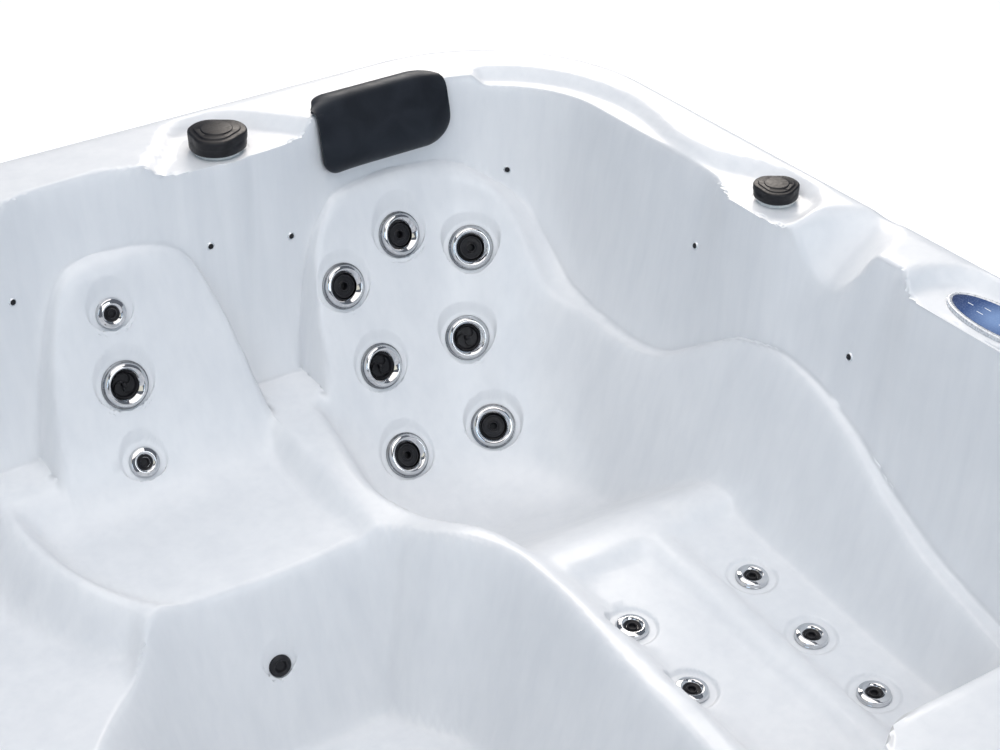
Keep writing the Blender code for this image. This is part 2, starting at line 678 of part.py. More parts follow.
def spread(points, count, axis):
    """Moves the grid's lines to where the surface bends, along one of its directions."""
    points = np.moveaxis(points, axis, 0)
    normal = np.cross(np.gradient(points, axis=0), np.gradient(points, axis=1))
    normal /= np.maximum(np.linalg.norm(normal, axis=-1, keepdims=True), 1e-12)
    run = np.linalg.norm(np.diff(points, axis=0), axis=-1)
    turn = np.linalg.norm(np.diff(normal, axis=0), axis=-1)
    weight = np.sqrt(run**2 + (TURN_WEIGHT * turn) ** 2)
    window = int(weight.shape[1] * SPREAD_share) | 1
    for _ in range(2):
        padded = np.pad(weight, ((0, 0), (window // 2 + 1, window // 2)), mode="edge")
        total = np.cumsum(padded, axis=1)
        weight = (total[:, window:] - total[:, :-window]) / window
    along = np.concatenate([np.zeros((1, weight.shape[1])), np.cumsum(weight, axis=0)], 0)
    moved = np.empty((count, points.shape[1], 2))
    for row in range(points.shape[1]):
        at = np.linspace(0.0, along[-1, row], count)
        moved[:, row, 0] = np.interp(at, along[:, row], points[:, row, 0])
        moved[:, row, 1] = np.interp(at, along[:, row], points[:, row, 1])
    return np.moveaxis(moved, 0, axis)


def moulded_grid(fine, count):
    """Points of the whole inside surface, with the skirt of the rim round it."""
    u, v = np.meshgrid(
        np.linspace(-HALF_LENGTH, HALF_LENGTH, fine), np.linspace(-HALF_WIDTH, HALF_WIDTH, fine), indexing="ij"
    )
    x, y = to_plan(u, v)
    points = np.stack([x, y, -surface_depth(x, y)], -1)
    for axis in (0, 1):
        moved = spread(points, count, axis)
        points = np.concatenate([moved, -surface_depth(moved[..., 0], moved[..., 1])[..., None]], -1)
    points = np.pad(points, ((1, 1), (1, 1), (0, 0)), mode="edge")
    border = np.ones(points.shape[:2], bool)
    border[1:-1, 1:-1] = False
    points[border, 2] = -RIM_ROUND - RIM_SKIRT
    points[..., 2] += TUB_HEIGHT
    return points


def clear_scene():
    for thing in list(bpy.data.objects):
        bpy.data.objects.remove(thing)


def material(name, colour, rough, metal=0.0):
    made = bpy.data.materials.new(name)
    made.use_nodes = True
    shader = made.node_tree.nodes["Principled BSDF"]
    shader.inputs["Base Color"].default_value = (*colour, 1.0)
    shader.inputs["Roughness"].default_value = rough
    shader.inputs["Metallic"].default_value = metal
    return made


def put(name, mesh, matrix=None, smooth=False):
    thing = bpy.data.objects.new(name, mesh)
    bpy.context.scene.collection.objects.link(thing)
    if matrix is not None:
        thing.matrix_world = matrix
    if smooth:
        mesh.shade_smooth()
    return thing


def helper(thing):
    thing.hide_render = True
    thing.display_type = "WIRE"
    return thing


def skin(name, rings, matrix=None, loop=False, smooth=False):
    """A closed solid through a row of equal rings of points, capped unless it closes on itself."""
    made = bmesh.new()
    rows = [[made.verts.new(point) for point in ring] for ring in rings]
    pairs = list(zip(rows, rows[1:] + rows[:1])) if loop else list(zip(rows, rows[1:]))
    for one, two in pairs:
        for i in range(len(one)):
            j = (i + 1) % len(one)
            made.faces.new((one[i], one[j], two[j], two[i]))
    if not loop:
        made.faces.new(rows[0])
        made.faces.new(rows[-1])
    bmesh.ops.recalc_face_normals(made, faces=made.faces)
    mesh = bpy.data.meshes.new(name)
    made.to_mesh(mesh)
    made.free()
    return put(name, mesh, matrix, smooth)


def turned(name, profile, sides, matrix=None, closed=False, smooth=True):
    """A round solid: its profile of radii and heights runs down the outer side."""
    mesh = bpy.data.meshes.new(name)
    points = [(radius, 0.0, height) for radius, height in profile]
    edges = [(i, i + 1) for i in range(len(points) - 1)]
    if closed:
        edges.append((len(points) - 1, 0))
    mesh.from_pydata(points, edges, [])
    thing = put(name, mesh, matrix)
    screw = thing.modifiers.new("Turn", "SCREW")
    screw.axis = "Z"
    screw.angle = math.tau
    screw.steps = sides
    screw.render_steps = sides
    screw.use_merge_vertices = True
    screw.merge_threshold = WELD
    screw.use_smooth_shade = smooth
    return thing


def block(name, centre, size, edge=0.0, segments=2, matrix=None):
    made = bmesh.new()
    bmesh.ops.create_cube(made, size=1.0)
    bmesh.ops.scale(made, vec=size, verts=made.verts)
    bmesh.ops.translate(made, vec=centre, verts=made.verts)
    mesh = bpy.data.meshes.new(name)
    made.to_mesh(mesh)
    made.free()
    thing = put(name, mesh, matrix)
    if edge:
        bevel = thing.modifiers.new("Edges", "BEVEL")
        bevel.width = edge
        bevel.segments = segments
    return thing


def swept(name, path, radius, bend, sides=PIPE_SIDES):
    """A round bar along a path whose corners are bent to a radius."""
    path = [Vector(point) for point in path]
    line = [path[0]]
    for before, corner, after in zip(path, path[1:], path[2:]):
        into = (before - corner).normalized()
        out = (after - corner).normalized()
        half = into.angle(out) / 2.0
        if half > STRAIGHT:
            line.append(corner)
            continue
        back = min(bend / math.tan(half), 0.45 * (before - corner).length, 0.45 * (after - corner).length)
        start, end = corner + into * back, corner + out * back
        arm = 4.0 / 3.0 * math.tan((math.pi / 2.0 - half) / 2.0) * back * math.tan(half)
        line += interpolate_bezier(start, start - into * arm, end - out * arm, end, BEND_POINTS)
    line.append(path[-1])
    rings = []
    side = None
    for i, point in enumerate(line):
        ahead = line[min(i + 1, len(line) - 1)] - point
        behind = point - line[max(i - 1, 0)]
        run = (ahead.normalized() + behind.normalized()).normalized()
        if side is None:
            side = run.orthogonal()
        side = (side - run * side.dot(run)).normalized()
        other = run.cross(side)
        turn = [math.tau * (k + 0.5) / sides for k in range(sides)]
        rings.append([point + (side * math.cos(a) + other * math.sin(a)) * radius for a in turn])
    return skin(name, rings, smooth=True)


def joined(thing, others):
    for other in others:
        modifier = thing.modifiers.new("Join", "BOOLEAN")
        modifier.operation = "UNION"
        modifier.solver = "EXACT"
        modifier.object = helper(other)
    return thing


def cut(thing, others):
    for other in others:
        modifier = thing.modifiers.new("Cut", "BOOLEAN")
        modifier.operation = "DIFFERENCE"
        modifier.solver = "EXACT"
        modifier.object = helper(other)
    return thing


def dress(thing, look):
    thing.data.materials.append(look)
    return thing


def rounded_outline(half_x, half_y, corner, steps):
    """Points of a rounded rectangle, the same number on each corner."""
    points = []
    for quarter, (sx, sy) in enumerate(((1, 1), (-1, 1), (-1, -1), (1, -1))):
        for k in range(steps + 1):
            angle = math.pi / 2.0 * (quarter + k / steps)
            points.append(
                (sx * (half_x - corner) + corner * math.cos(angle), sy * (half_y - corner) + corner * math.sin(angle))
            )
    return points


def oval(half_x, half_y, height, sides=PANEL_SIDES):
    return [
        (half_x * math.cos(math.tau * k / sides), half_y * math.sin(math.tau * k / sides), height)
        for k in range(sides)
    ]


def within_flats(radius, sides=JET_SIDES):
    """The largest radius that turns freely inside a bore of this radius with flat sides."""
    return radius * math.cos(math.pi / sides) - CLEARANCE


def past_flats(radius, sides=JET_SIDES):
    """The radius of a flat-sided recess in which a ring of this radius turns freely."""
    return (radius + CLEARANCE) / math.cos(math.pi / sides)


LARGE_CUP_BORE = LARGE_NECK - JET_WALL
LARGE_SLEEVE = within_flats(LARGE_CUP_BORE)
LARGE_BORE = LARGE_SLEEVE - BEZEL_WALL
BALL = within_flats(LARGE_BORE)
SMALL_CUP_BORE = SMALL_NECK - JET_WALL
SMALL_SLEEVE = within_flats(SMALL_CUP_BORE)
PAD_Z = CLEARANCE - SPOT_FACE
NUT_Z = -SHELL_THICK - GASKET


def opening(name, seat, ring, neck, sides=JET_SIDES):
    """The cutter that faces the shell under a fitting's ring and opens the hole for its neck."""
    far = CUT_REACH
    face = past_flats(ring, sides)
    hole = neck + CLEARANCE
    profile = [(0.0, far), (face, far), (face, -SPOT_FACE), (hole, -SPOT_FACE), (hole, -far), (0.0, -far)]
    return turned(name, profile, sides, seat.matrix(), smooth=False)


def pin_hole(name, seat, radius):
    far = CUT_REACH
    profile = [(0.0, far), (radius + CLEARANCE, far), (radius + CLEARANCE, -far), (0.0, -far)]
    return turned(name, profile, SMALL_SIDES, seat.matrix(), smooth=False)


def bezel(name, seat, look):
    """The turning trim ring of a large jet, with the sleeve that its nozzle sits in."""
    high = LARGE_RING_HIGH
    made = turned(
        name,
        [
            (LARGE_BORE, PAD_Z + high * 0.45), (LARGE_RING * BEZEL_FACE_share, PAD_Z + high),
            (LARGE_RING, PAD_Z + high * 0.30), (LARGE_RING, PAD_Z), (LARGE_SLEEVE, PAD_Z),
            (LARGE_SLEEVE, PAD_Z - SLEEVE_LONG), (LARGE_BORE, PAD_Z - SLEEVE_LONG),
        ],
        JET_SIDES, seat.matrix(), closed=True,
    )
    return dress(made, look)


def ball_nozzle(name, seat, look):
    """A jet's ball with a straight hole, cut flat in front and behind."""
    start, end = math.asin(BALL_FRONT / BALL), -math.asin(BALL_BACK / BALL)
    round_part = []
    for k in range(BALL_STEPS + 1):
        angle = start + (end - start) * k / BALL_STEPS
        round_part.append((BALL * math.cos(angle), BALL * math.sin(angle)))
    profile = [(BALL_HOLE, BALL_FRONT * 0.6)] + round_part
    profile.append((BALL_HOLE, round_part[-1][1]))
    place = seat.matrix(math.pi / JET_SIDES) @ Matrix.Translation((0.0, 0.0, -BALL_DROP))
    return dress(turned(name, profile, JET_SIDES, place, closed=True), look)


def rotor(name, seat, look):
    """A spinning jet insert with slanting outlets round its axis."""
    place = seat.matrix(math.pi / JET_SIDES)
    made = turned(
        name,
        [
            (0.0, ROTOR_FRONT), (BALL * 0.30, ROTOR_FRONT), (BALL * 0.42, 0.0), (BALL * 0.90, 0.0),
            (BALL, -ROTOR_FRONT), (BALL, -ROTOR_BACK), (0.0, -ROTOR_BACK),
        ],
        JET_SIDES, place,
    )
    outlets = []
    for k in range(ROTOR_OUTLETS):
        turn = Matrix.Rotation(math.tau * k / ROTOR_OUTLETS, 4, "Z")
        tilt = Matrix.Rotation(ROTOR_SLANT, 4, "X")
        at = place @ turn @ Matrix.Translation((BALL * ROTOR_HOLE_share, 0.0, 0.0)) @ tilt
        profile = [(0.0, CUT_REACH), (ROTOR_HOLE, CUT_REACH), (ROTOR_HOLE, -ROTOR_CUT), (0.0, -ROTOR_CUT)]
        outlets.append(turned(name + "_outlet", profile, ROTOR_SIDES, at, smooth=False))
    return dress(cut(made, outlets), look)


def small_ring(name, seat, look):
    """The turning trim ring of a small jet, with its own fixed nozzle."""
    high = SMALL_RING_HIGH
    made = turned(
        name,
        [
            (SMALL_BORE, PAD_Z - high * 0.4), (SMALL_RING * 0.44, PAD_Z + high * 0.40),
            (SMALL_RING * 0.76, PAD_Z + high), (SMALL_RING, PAD_Z), (SMALL_SLEEVE, PAD_Z),
            (SMALL_SLEEVE, PAD_Z - SMALL_SLEEVE_LONG), (SMALL_BORE, PAD_Z - SMALL_SLEEVE_LONG),
        ],
        JET_SIDES, seat.matrix(), closed=True,
    )
    return dress(made, look)


def fitting(name, seat, neck, nut, bore, cup_long, front, sides=JET_SIDES):
    """A body that runs through the shell, with a nut flange behind it and a closed cup."""
    wall = neck - bore
    profile = [(0.0, wall - cup_long), (bore, wall - cup_long), (bore, front), (neck, front)] if bore else [
        (0.0, front), (neck, front)]
    profile += [
        (neck, NUT_Z), (nut, NUT_Z), (nut, NUT_Z - NUT_THICK), (neck, -cup_long), (0.0, -cup_long),
    ]
    return turned(name, profile, sides, seat.matrix())


def jet_bodies(name, large, small):
    bodies = []
    for i, seat in enumerate(large):
        bodies.append(fitting(f"{name}_large_{i}", seat, LARGE_NECK, LARGE_NUT, LARGE_CUP_BORE,
                              LARGE_CUP_LONG, -SPOT_FACE))
    for i, seat in enumerate(small):
        bodies.append(fitting(f"{name}_small_{i}", seat, SMALL_NECK, SMALL_NUT, SMALL_CUP_BORE,
                              SMALL_CUP_LONG, -SPOT_FACE))
    return bodies


def behind(seat, back=FITTING_BACK):
    return Vector(seat.centre) - Vector(seat.axis) * back


def along_to(point, x=None, y=None, z=None):
    return Vector((point.x if x is None else x, point.y if y is None else y, point.z if z is None else z))


def build_shell(look):
    points = moulded_grid(MOULD_FINE, MOULD_LINES)
    made = bmesh.new()
    grid = [[made.verts.new(point) for point in row] for row in points]
    for one, two in zip(grid, grid[1:]):
        for i in range(len(one) - 1):
            made.faces.new((one[i], two[i], two[i + 1], one[i + 1]))
    bmesh.ops.remove_doubles(made, verts=made.verts, dist=WELD)
    bmesh.ops.triangulate(made, faces=made.faces)
    mesh = bpy.data.meshes.new("shell")
    made.to_mesh(mesh)
    made.free()
    shell = put("shell", mesh, smooth=True)
    wall = shell.modifiers.new("Wall", "SOLIDIFY")
    wall.thickness = SHELL_THICK
    wall.offset = -1.0
    fewer = shell.modifiers.new("Fewer faces", "DECIMATE")
    fewer.ratio = SHELL_FACES / (len(mesh.polygons) * 2.0)
    cutters = [opening("large_hole", seat, LARGE_RING, LARGE_NECK) for seat in LARGE_JETS]
    cutters += [opening("small_hole", seat, SMALL_RING, SMALL_NECK) for seat in SMALL_JETS]
    cutters += [pin_hole("glow_hole", seat, GLOW) for seat in GLOW_SEATS]
    cutters.append(pin_hole("ozone_hole", OZONE_SEAT, OZONE))
    cutters.append(opening("suction_hole", SUCTION_SEAT, SUCTION, SUCTION_NECK))
    cutters.append(opening("light_hole", LIGHT_SEAT, LIGHT, LIGHT_NECK))
    cutters.append(opening("diverter_hole", DIVERTER_SEAT, DIVERTER_CAP, DIVERTER_NECK))
    cutters.append(opening("air_hole", AIR_SEAT, AIR_CAP, AIR_NECK))
    cutters.append(opening("filter_hole", FILTER_SEAT, CANISTER + CANISTER_FLANGE, CANISTER, FILTER_SIDES))
    place = PANEL_SEAT.matrix(PANEL_SPIN)
    for half_x, half_y, low in (
        (PANEL_HALF_LONG * PANEL_BODY_share + CLEARANCE, PANEL_HALF_WIDE * PANEL_BODY_share + CLEARANCE, -PANEL_BODY_LONG),
        (PANEL_HALF_LONG + SPOT_MARGIN, PANEL_HALF_WIDE + SPOT_MARGIN, -SPOT_FACE),
    ):
        cutters.append(skin("panel_hole", [oval(half_x, half_y, low), oval(half_x, half_y, OVERRUN * 3.0)], place))
    return dress(cut(shell, cutters), look)


SKIRT_LOW = TRAY_HIGH + CLEARANCE
SKIRT_HIGH = TUB_HEIGHT - SKIRT_TOP_DROP
FRAME_INSET = SKIRT_INSET + SKIRT_THICK + CLEARANCE
RAIL_TOP = TUB_HEIGHT - FRAME_RAIL_DROP + FRAME_HIGH
POST_TOP = TUB_HEIGHT - SHELL_THICK - RIM_GAP


def skirt_section():
    """Inset and height of the points round a skirt, with its shallow grooves on the outer face."""
    section = [(SKIRT_INSET, SKIRT_HIGH)]
    for share in reversed(GROOVE_shares):
        middle = SKIRT_LOW + (SKIRT_HIGH - SKIRT_LOW) * share
        section.append((SKIRT_INSET, middle + GROOVE_WIDE / 2.0))
        section.append((SKIRT_INSET + GROOVE_DEEP, middle))
        section.append((SKIRT_INSET, middle - GROOVE_WIDE / 2.0))
    section.append((SKIRT_INSET, SKIRT_LOW))
    section.append((SKIRT_INSET + SKIRT_THICK, SKIRT_LOW))
    section.append((SKIRT_INSET + SKIRT_THICK, SKIRT_HIGH))
    return section


def skirt(name, look, half_run, half_across, spin):
    """One flat side panel; its outer face looks along -Y before it is turned into place."""
    run = half_run - OUTER_CORNER - SKIRT_SEAM / 2.0
    rings = [[(side * run, inset - half_across, z) for inset, z in skirt_section()] for side in (-1.0, 1.0)]
    return dress(skin(name, rings, Matrix.Rotation(spin, 4, "Z")), look)


def corner_panel(name, look, sx, sy):
    """One curved corner panel."""
    centre = Vector((sx * (HALF_LENGTH - OUTER_CORNER), sy * (HALF_WIDTH - OUTER_CORNER), 0.0))
    shy = SKIRT_SEAM / 2.0 / OUTER_CORNER
    rings = []
    for k in range(CORNER_STEPS + 1):
        angle = math.pi / 2.0 * k / CORNER_STEPS
        angle = min(max(angle, shy), math.pi / 2.0 - shy)
        out = Vector((sx * math.cos(angle), sy * math.sin(angle), 0.0))
        rings.append([out * (OUTER_CORNER - inset) + Vector((0.0, 0.0, z)) for inset, z in skirt_section()])
    return dress(skin(name, rings, Matrix.Translation(centre)), look)


def band(name, outer_inset, inner_inset, low, high):
    """A flat ring that follows the tub's outline between two insets."""
    rings = []
    insets = ((outer_inset, high), (outer_inset, low), (inner_inset, low), (inner_inset, high))
    loops = [
        rounded_outline(HALF_LENGTH - inset, HALF_WIDTH - inset, OUTER_CORNER - inset, CORNER_STEPS // 2)
        for inset, _ in insets
    ]
    for around in zip(*loops):
        rings.append([(x, y, z) for (x, y), (_, z) in zip(around, insets)])
    return skin(name, rings, loop=True)


def build_tray(look):
    rings = []
    for inset, z in (
        (TRAY_INSET + TRAY_EDGE, 0.0), (TRAY_INSET, TRAY_EDGE), (TRAY_INSET, TRAY_HIGH),
    ):
        outline_points = rounded_outline(HALF_LENGTH - inset, HALF_WIDTH - inset, OUTER_CORNER - inset, CORNER_STEPS)
        rings.append([(x, y, z) for x, y in outline_points])
    tray = skin("base_tray", rings)
    top = TUB_HEIGHT - FOOTWELL_DEPTH - SHELL_THICK - CLEARANCE
    centre = (PLINTH_CENTRE_shares[0] * HALF_LENGTH, PLINTH_CENTRE_shares[1] * HALF_WIDTH)
    rings = []
    for draft, z in ((PLINTH_DRAFT, TRAY_HIGH / 2.0), (0.0, top)):
        points = rounded_outline(PLINTH_LONG / 2.0 + draft, PLINTH_WIDE / 2.0 + draft, PLINTH_DRAFT * 2.0, 3)
        rings.append([(centre[0] + x, centre[1] + y, z) for x, y in points])
    return dress(joined(tray, [skin("plinth", rings)]), look)


def build_frame(look):
    low = TRAY_HIGH + CLEARANCE
    outer, inner = FRAME_INSET, FRAME_INSET + FRAME_WIDE
    frame = band("frame", outer, inner, low, low + FRAME_HIGH)
    others = [band("top_rail", outer, inner, RAIL_TOP - FRAME_HIGH, RAIL_TOP)]
    across = FRAME_WIDE - POST_SHY * 2.0
    base = low + FRAME_HIGH / 2.0
    places = [(share * HALF_LENGTH, HALF_WIDTH - outer - FRAME_WIDE / 2.0, True, POST_TOP) for share in BACK_POST_shares]
    places += [
        (share * HALF_LENGTH, -HALF_WIDTH + outer + FRAME_WIDE / 2.0, True, POST_TOP) for share in FRONT_POST_shares
    ]
    side = HALF_LENGTH - outer - FRAME_WIDE / 2.0
    places += [(-side, share * HALF_WIDTH, False, POST_TOP) for share in LEFT_POST_shares]
    places.append((side, RIGHT_POST_share * HALF_WIDTH, False, POST_TOP))
    places.append((side, RIGHT_SHORT_POST_share * HALF_WIDTH, False, RAIL_TOP - FRAME_HIGH / 2.0))
    for x, y, along_x, top in places:
        size = (POST_WIDE, across, top - base) if along_x else (across, POST_WIDE, top - base)
        others.append(block("post", (x, y, (top + base) / 2.0), size))
    return dress(joined(frame, others), look)


PUMP_AT = Vector((PUMP_share[0] * HALF_LENGTH, PUMP_share[1] * HALF_WIDTH, PUMP_Z))
WET_START = PUMP_AT.x + MOTOR_LONG / 2.0 + CLEARANCE
WET_FACE = WET_START + WET_END_LONG
DISCHARGE_X = WET_START + WET_END_LONG / 2.0
HEATER_START = DISCHARGE_X + PIPE_BEND * 1.4
HEATER_FINISH = HEATER_START + HEATER_LONG
LEG_FEED = behind(SMALL_JETS[5])
RUN_X = LEG_FEED.x
RUN_END_Y = float(DIVERTER_SEAT.centre[1])
RUN_START_Y = RUN_START_share * HALF_WIDTH
STUB_TOP = RUN_Z + STUB_HIGH


def along_x(at):
    """A frame whose Z runs along +X from a point."""
    return Matrix.Translation(at) @ Matrix.Rotation(math.pi / 2.0, 4, "Y")


def collar(name, at, direction, radius):
    """A raised union ring on a pipe's end."""
    turn = Vector(direction).to_track_quat("Z", "Y").to_matrix().to_4x4()
    profile = [(0.0, 0.0), (radius, 0.0), (radius, -COLLAR_LONG), (0.0, -COLLAR_LONG)]
    return turned(name, profile, PIPE_SIDES * 2, Matrix.Translation(at) @ turn)


def build_motor(look):
    half = MOTOR_LONG / 2.0
    deep = MOTOR - FIN_DEEP
    profile = [(0.0, half), (deep * 0.86, half), (deep, half * 0.92)]
    for share in (0.55, 0.0, -0.55):
        profile += [(MOTOR, half * (share + 0.16)), (MOTOR, half * (share - 0.16))]
    profile += [(deep * 0.9, -half), (0.0, -half)]
    motor = turned("pump_motor", profile, 16, along_x(PUMP_AT))
    foot_top = PUMP_Z - MOTOR * 0.80
    foot_low = TRAY_HIGH + CLEARANCE
    foot = block(
        "foot", (PUMP_AT.x, PUMP_AT.y, (foot_top + foot_low) / 2.0),
        (MOTOR_FOOT, MOTOR_FOOT_WIDE, foot_top - foot_low), FIN_DEEP,
    )
    return dress(joined(motor, [foot]), look)


def build_wet_end(look):
    start = Vector((WET_START, PUMP_AT.y, PUMP_Z))
    edge = FIN_DEEP
    wet = turned("pump_wet_end", [
        (0.0, WET_END_LONG), (WET_END - edge, WET_END_LONG), (WET_END, WET_END_LONG - edge),
        (WET_END, edge), (WET_END - edge, 0.0), (0.0, 0.0),
    ], 16, along_x(start))
    out = Vector((DISCHARGE_X, PUMP_AT.y, PUMP_Z))
    end = Vector((HEATER_START - CLEARANCE, out.y, HEATER_Z))
    riser = swept("riser", [out, along_to(out, z=HEATER_Z), along_to(end, x=end.x - COLLAR)], PIPE, PIPE_BEND)
    port = collar("suction_port", Vector((WET_FACE + COLLAR_LONG / 2.0, out.y, PUMP_Z)), (1, 0, 0), PIPE + COLLAR)
    union = collar("outlet_union", end, (1, 0, 0), PIPE + COLLAR)
    return dress(joined(wet, [riser, port, union]), look)


def build_heater(look):
    start = Vector((HEATER_START, PUMP_AT.y, HEATER_Z))
    ring = PIPE + COLLAR
    heater = turned("heater_tube", [
        (0.0, HEATER_LONG), (ring, HEATER_LONG), (ring, HEATER_LONG - COLLAR_LONG),
        (HEATER, HEATER_LONG - COLLAR_LONG), (HEATER, COLLAR_LONG), (ring, COLLAR_LONG), (ring, 0.0), (0.0, 0.0),
    ], 16, along_x(start))
    box_top = HEATER * 2.2
    cover = block(
        "terminal_cover", (HEATER_START + HEATER_LONG / 2.0, PUMP_AT.y, HEATER_Z + box_top / 4.0),
        (HEATER_LONG * 0.30, HEATER * 1.2, box_top / 1.5), FIN_DEEP,
    )
    return dress(joined(heater, [cover]), look)


def electric_box(name, size, share, glands, look):
    low = TRAY_HIGH + CLEARANCE
    x, y = share[0] * HALF_LENGTH, share[1] * HALF_WIDTH
    box = block(name, (x, y, low + size[2] / 2.0), size, CONTROL_ROUND)
    others = []
    for place in glands:
        at = Vector((x + place * size[0], y, low + size[2]))
        others.append(turned(name + "_gland", [
            (0.0, GLAND_LONG), (GLAND, GLAND_LONG), (GLAND, -GLAND_LONG), (0.0, -GLAND_LONG),
        ], 10, Matrix.Translation(at)))
    return dress(joined(box, others), look)


def build_suction(look):
    body = fitting("suction_pipe", SUCTION_SEAT, SUCTION_NECK, SUCTION_NUT, SUCTION_NECK - JET_WALL,
                   LARGE_CUP_LONG, -SPOT_FACE)
    back = behind(SUCTION_SEAT)
    port = WET_FACE + COLLAR_LONG / 2.0 + CLEARANCE
    near = Vector((port + PIPE_BEND * 2.0, PUMP_AT.y, PUMP_Z))
    pipe = swept("suction_run", [
        back + Vector(SUCTION_SEAT.axis) * PIPE, back, along_to(back, y=near.y + PIPE_BEND), near,
        Vector((port + COLLAR, near.y, near.z)),
    ], PIPE, PIPE_BEND)
    union = collar("pump_union", Vector((port, near.y, near.z)), (-1, 0, 0), PIPE + COLLAR)
    return dress(joined(body, [pipe, union]), look)


def build_manifold(look):
    heater_y = PUMP_AT.y
    start = Vector((HEATER_FINISH + CLEARANCE, heater_y, HEATER_Z))
    low = Vector((RUN_X, heater_y, RUN_Z))
    seat_x = SEAT_FEED_share * HALF_LENGTH
    run = swept("pressure_manifold", [
        Vector((RUN_X, RUN_START_Y, RUN_Z)), Vector((RUN_X, RUN_END_Y, RUN_Z)),
        Vector((seat_x, RUN_END_Y, RUN_Z)), Vector((seat_x, RUN_END_Y, STUB_TOP)),
    ], PIPE, PIPE_BEND)
    drop = swept("drop", [along_to(start, x=start.x + COLLAR), along_to(low, z=HEATER_Z), low], PIPE, PIPE_BEND)
    union = collar("heater_union", start, (-1, 0, 0), PIPE + COLLAR)
    others = [drop, union]
    for x, y in (
        (RUN_X, LEG_FEED.y), (RUN_X, BACK_FEED_share * HALF_WIDTH),
        (DIVERTER_SEAT.centre[0], RUN_END_Y),
    ):
        foot = Vector((x, y, RUN_Z))
        others.append(swept("stub", [foot, along_to(foot, z=STUB_TOP)], PIPE, PIPE_BEND))
    return dress(joined(run, others), look)


def plumbing(name, look, large, small, orders, feed):
    """Jet bodies joined by the water pipes behind them, with the feed that stands on the manifold."""
    bodies = jet_bodies(name, large, small)
    bodies[0].name = name
    seats = large + small
    others = bodies[1:]
    for order in orders:
        path = [behind(seats[i]) for i in order]
        others.append(swept(name + "_pipe", path, FEED_PIPE, FEED_BEND, FEED_SIDES))
    from_seat, x, y = feed
    top = behind(seats[from_seat])
    foot = Vector((x, y, STUB_TOP + CLEARANCE))
    level = along_to(foot, z=top.z)
    path = [top] + ([level] if (level - top).length > FEED_BEND else []) + [foot + Vector((0.0, 0.0, COLLAR))]
    others.append(swept(name + "_feed", path, FEED_PIPE, FEED_BEND, FEED_SIDES))
    others.append(collar(name + "_union", foot, (0, 0, -1), PIPE))
    return dress(joined(bodies[0], others), look)


def lobed_cap(name, seat, radius, high, base, look):
    """A hand knob with rounded lobes, a chamfered crown and a raised band on its top."""
    def ring(size, z, lobes=1.0):
        points = []
        for k in range(CAP_SIDES):
            angle = math.tau * k / CAP_SIDES
            hollow = (0.5 - 0.5 * math.cos(CAP_LOBES * (angle + CAP_TURN))) ** CAP_POWER
            r = radius * size * (1.0 - CAP_LOBE_share * lobes * hollow)
            points.append((r * math.cos(angle), r * math.sin(angle), base + z * high))
        return points

    made = skin(name, [
        ring(0.95, 0.0, 0.35), ring(0.968, 0.34, 0.45), ring(1.0, 0.46), ring(1.0, 0.76),
        ring(0.93, 0.86), ring(0.76, 0.90), ring(0.54, 0.94, 0.3), ring(0.50, 1.0, 0.0),
    ], seat.matrix(), smooth=True)
    socket = turned(name + "_socket", [
        (0.0, base + VALVE_STEM_HIGH), (VALVE_STEM + CLEARANCE, base + VALVE_STEM_HIGH),
        (VALVE_STEM + CLEARANCE, base - OVERRUN), (0.0, base - OVERRUN),
    ], 12, seat.matrix(), smooth=False)
    return dress(cut(made, [socket]), look)


CAP_BASE = PAD_Z + COLLAR


def valve_body(name, seat, neck, nut, long, cap):
    """A valve body under the rim with a seat flange above it and the stem that its cap sits on."""
    flange = cap * 0.80
    return turned(name, [
        (0.0, CAP_BASE + VALVE_STEM_HIGH - CLEARANCE * 2.0), (VALVE_STEM, CAP_BASE + VALVE_STEM_HIGH - CLEARANCE * 2.0),
        (VALVE_STEM, CAP_BASE - CLEARANCE), (flange * 0.95, CAP_BASE - CLEARANCE), (flange, PAD_Z + COLLAR / 3.0),
        (flange, PAD_Z), (neck, PAD_Z), (neck, NUT_Z), (nut, NUT_Z), (nut, -long), (0.0, -long),
    ], JET_SIDES, seat.matrix())


def build_diverter_body(look):
    body = valve_body("diverter_body", DIVERTER_SEAT, DIVERTER_NECK, DIVERTER_BODY, DIVERTER_BODY_LONG, DIVERTER_CAP)
    top = Vector(DIVERTER_SEAT.centre) - Vector((0.0, 0.0, DIVERTER_BODY_LONG - COLLAR))
    foot = Vector((top.x, RUN_END_Y, STUB_TOP + CLEARANCE))
    pipe = swept("diverter_pipe", [top, foot + Vector((0.0, 0.0, COLLAR))], FEED_PIPE, FEED_BEND, FEED_SIDES)
    return dress(joined(body, [pipe, collar("diverter_union", foot, (0, 0, -1), PIPE)]), look)


def build_air_body(look):
    body = valve_body("air_valve_body", AIR_SEAT, AIR_NECK, AIR_BODY, AIR_BODY_LONG, AIR_CAP)
    barb = turned("air_barb", [
        (0.0, -AIR_BODY_LONG + COLLAR), (GLAND, -AIR_BODY_LONG + COLLAR), (GLAND, -AIR_BODY_LONG - GLAND_LONG),
        (0.0, -AIR_BODY_LONG - GLAND_LONG),
    ], 10, AIR_SEAT.matrix())
    return dress(joined(body, [barb]), look)


def build_pillow(look):
    """A cushion that lies over the lip: a crowned front, drawn-in ends and a back that follows the shell."""
    rings = []
    for row in range(PILLOW_ROWS):
        t = -1.0 + 2.0 * row / (PILLOW_ROWS - 1)
        t = math.copysign(1.0 - (1.0 - abs(t)) ** 1.6, t)
        x = PILLOW_share * HALF_LENGTH + t * PILLOW_HALF
        rings.append(pillow_ring(x, t))
    return dress(skin("lounge_pillow", rings, smooth=True), look)


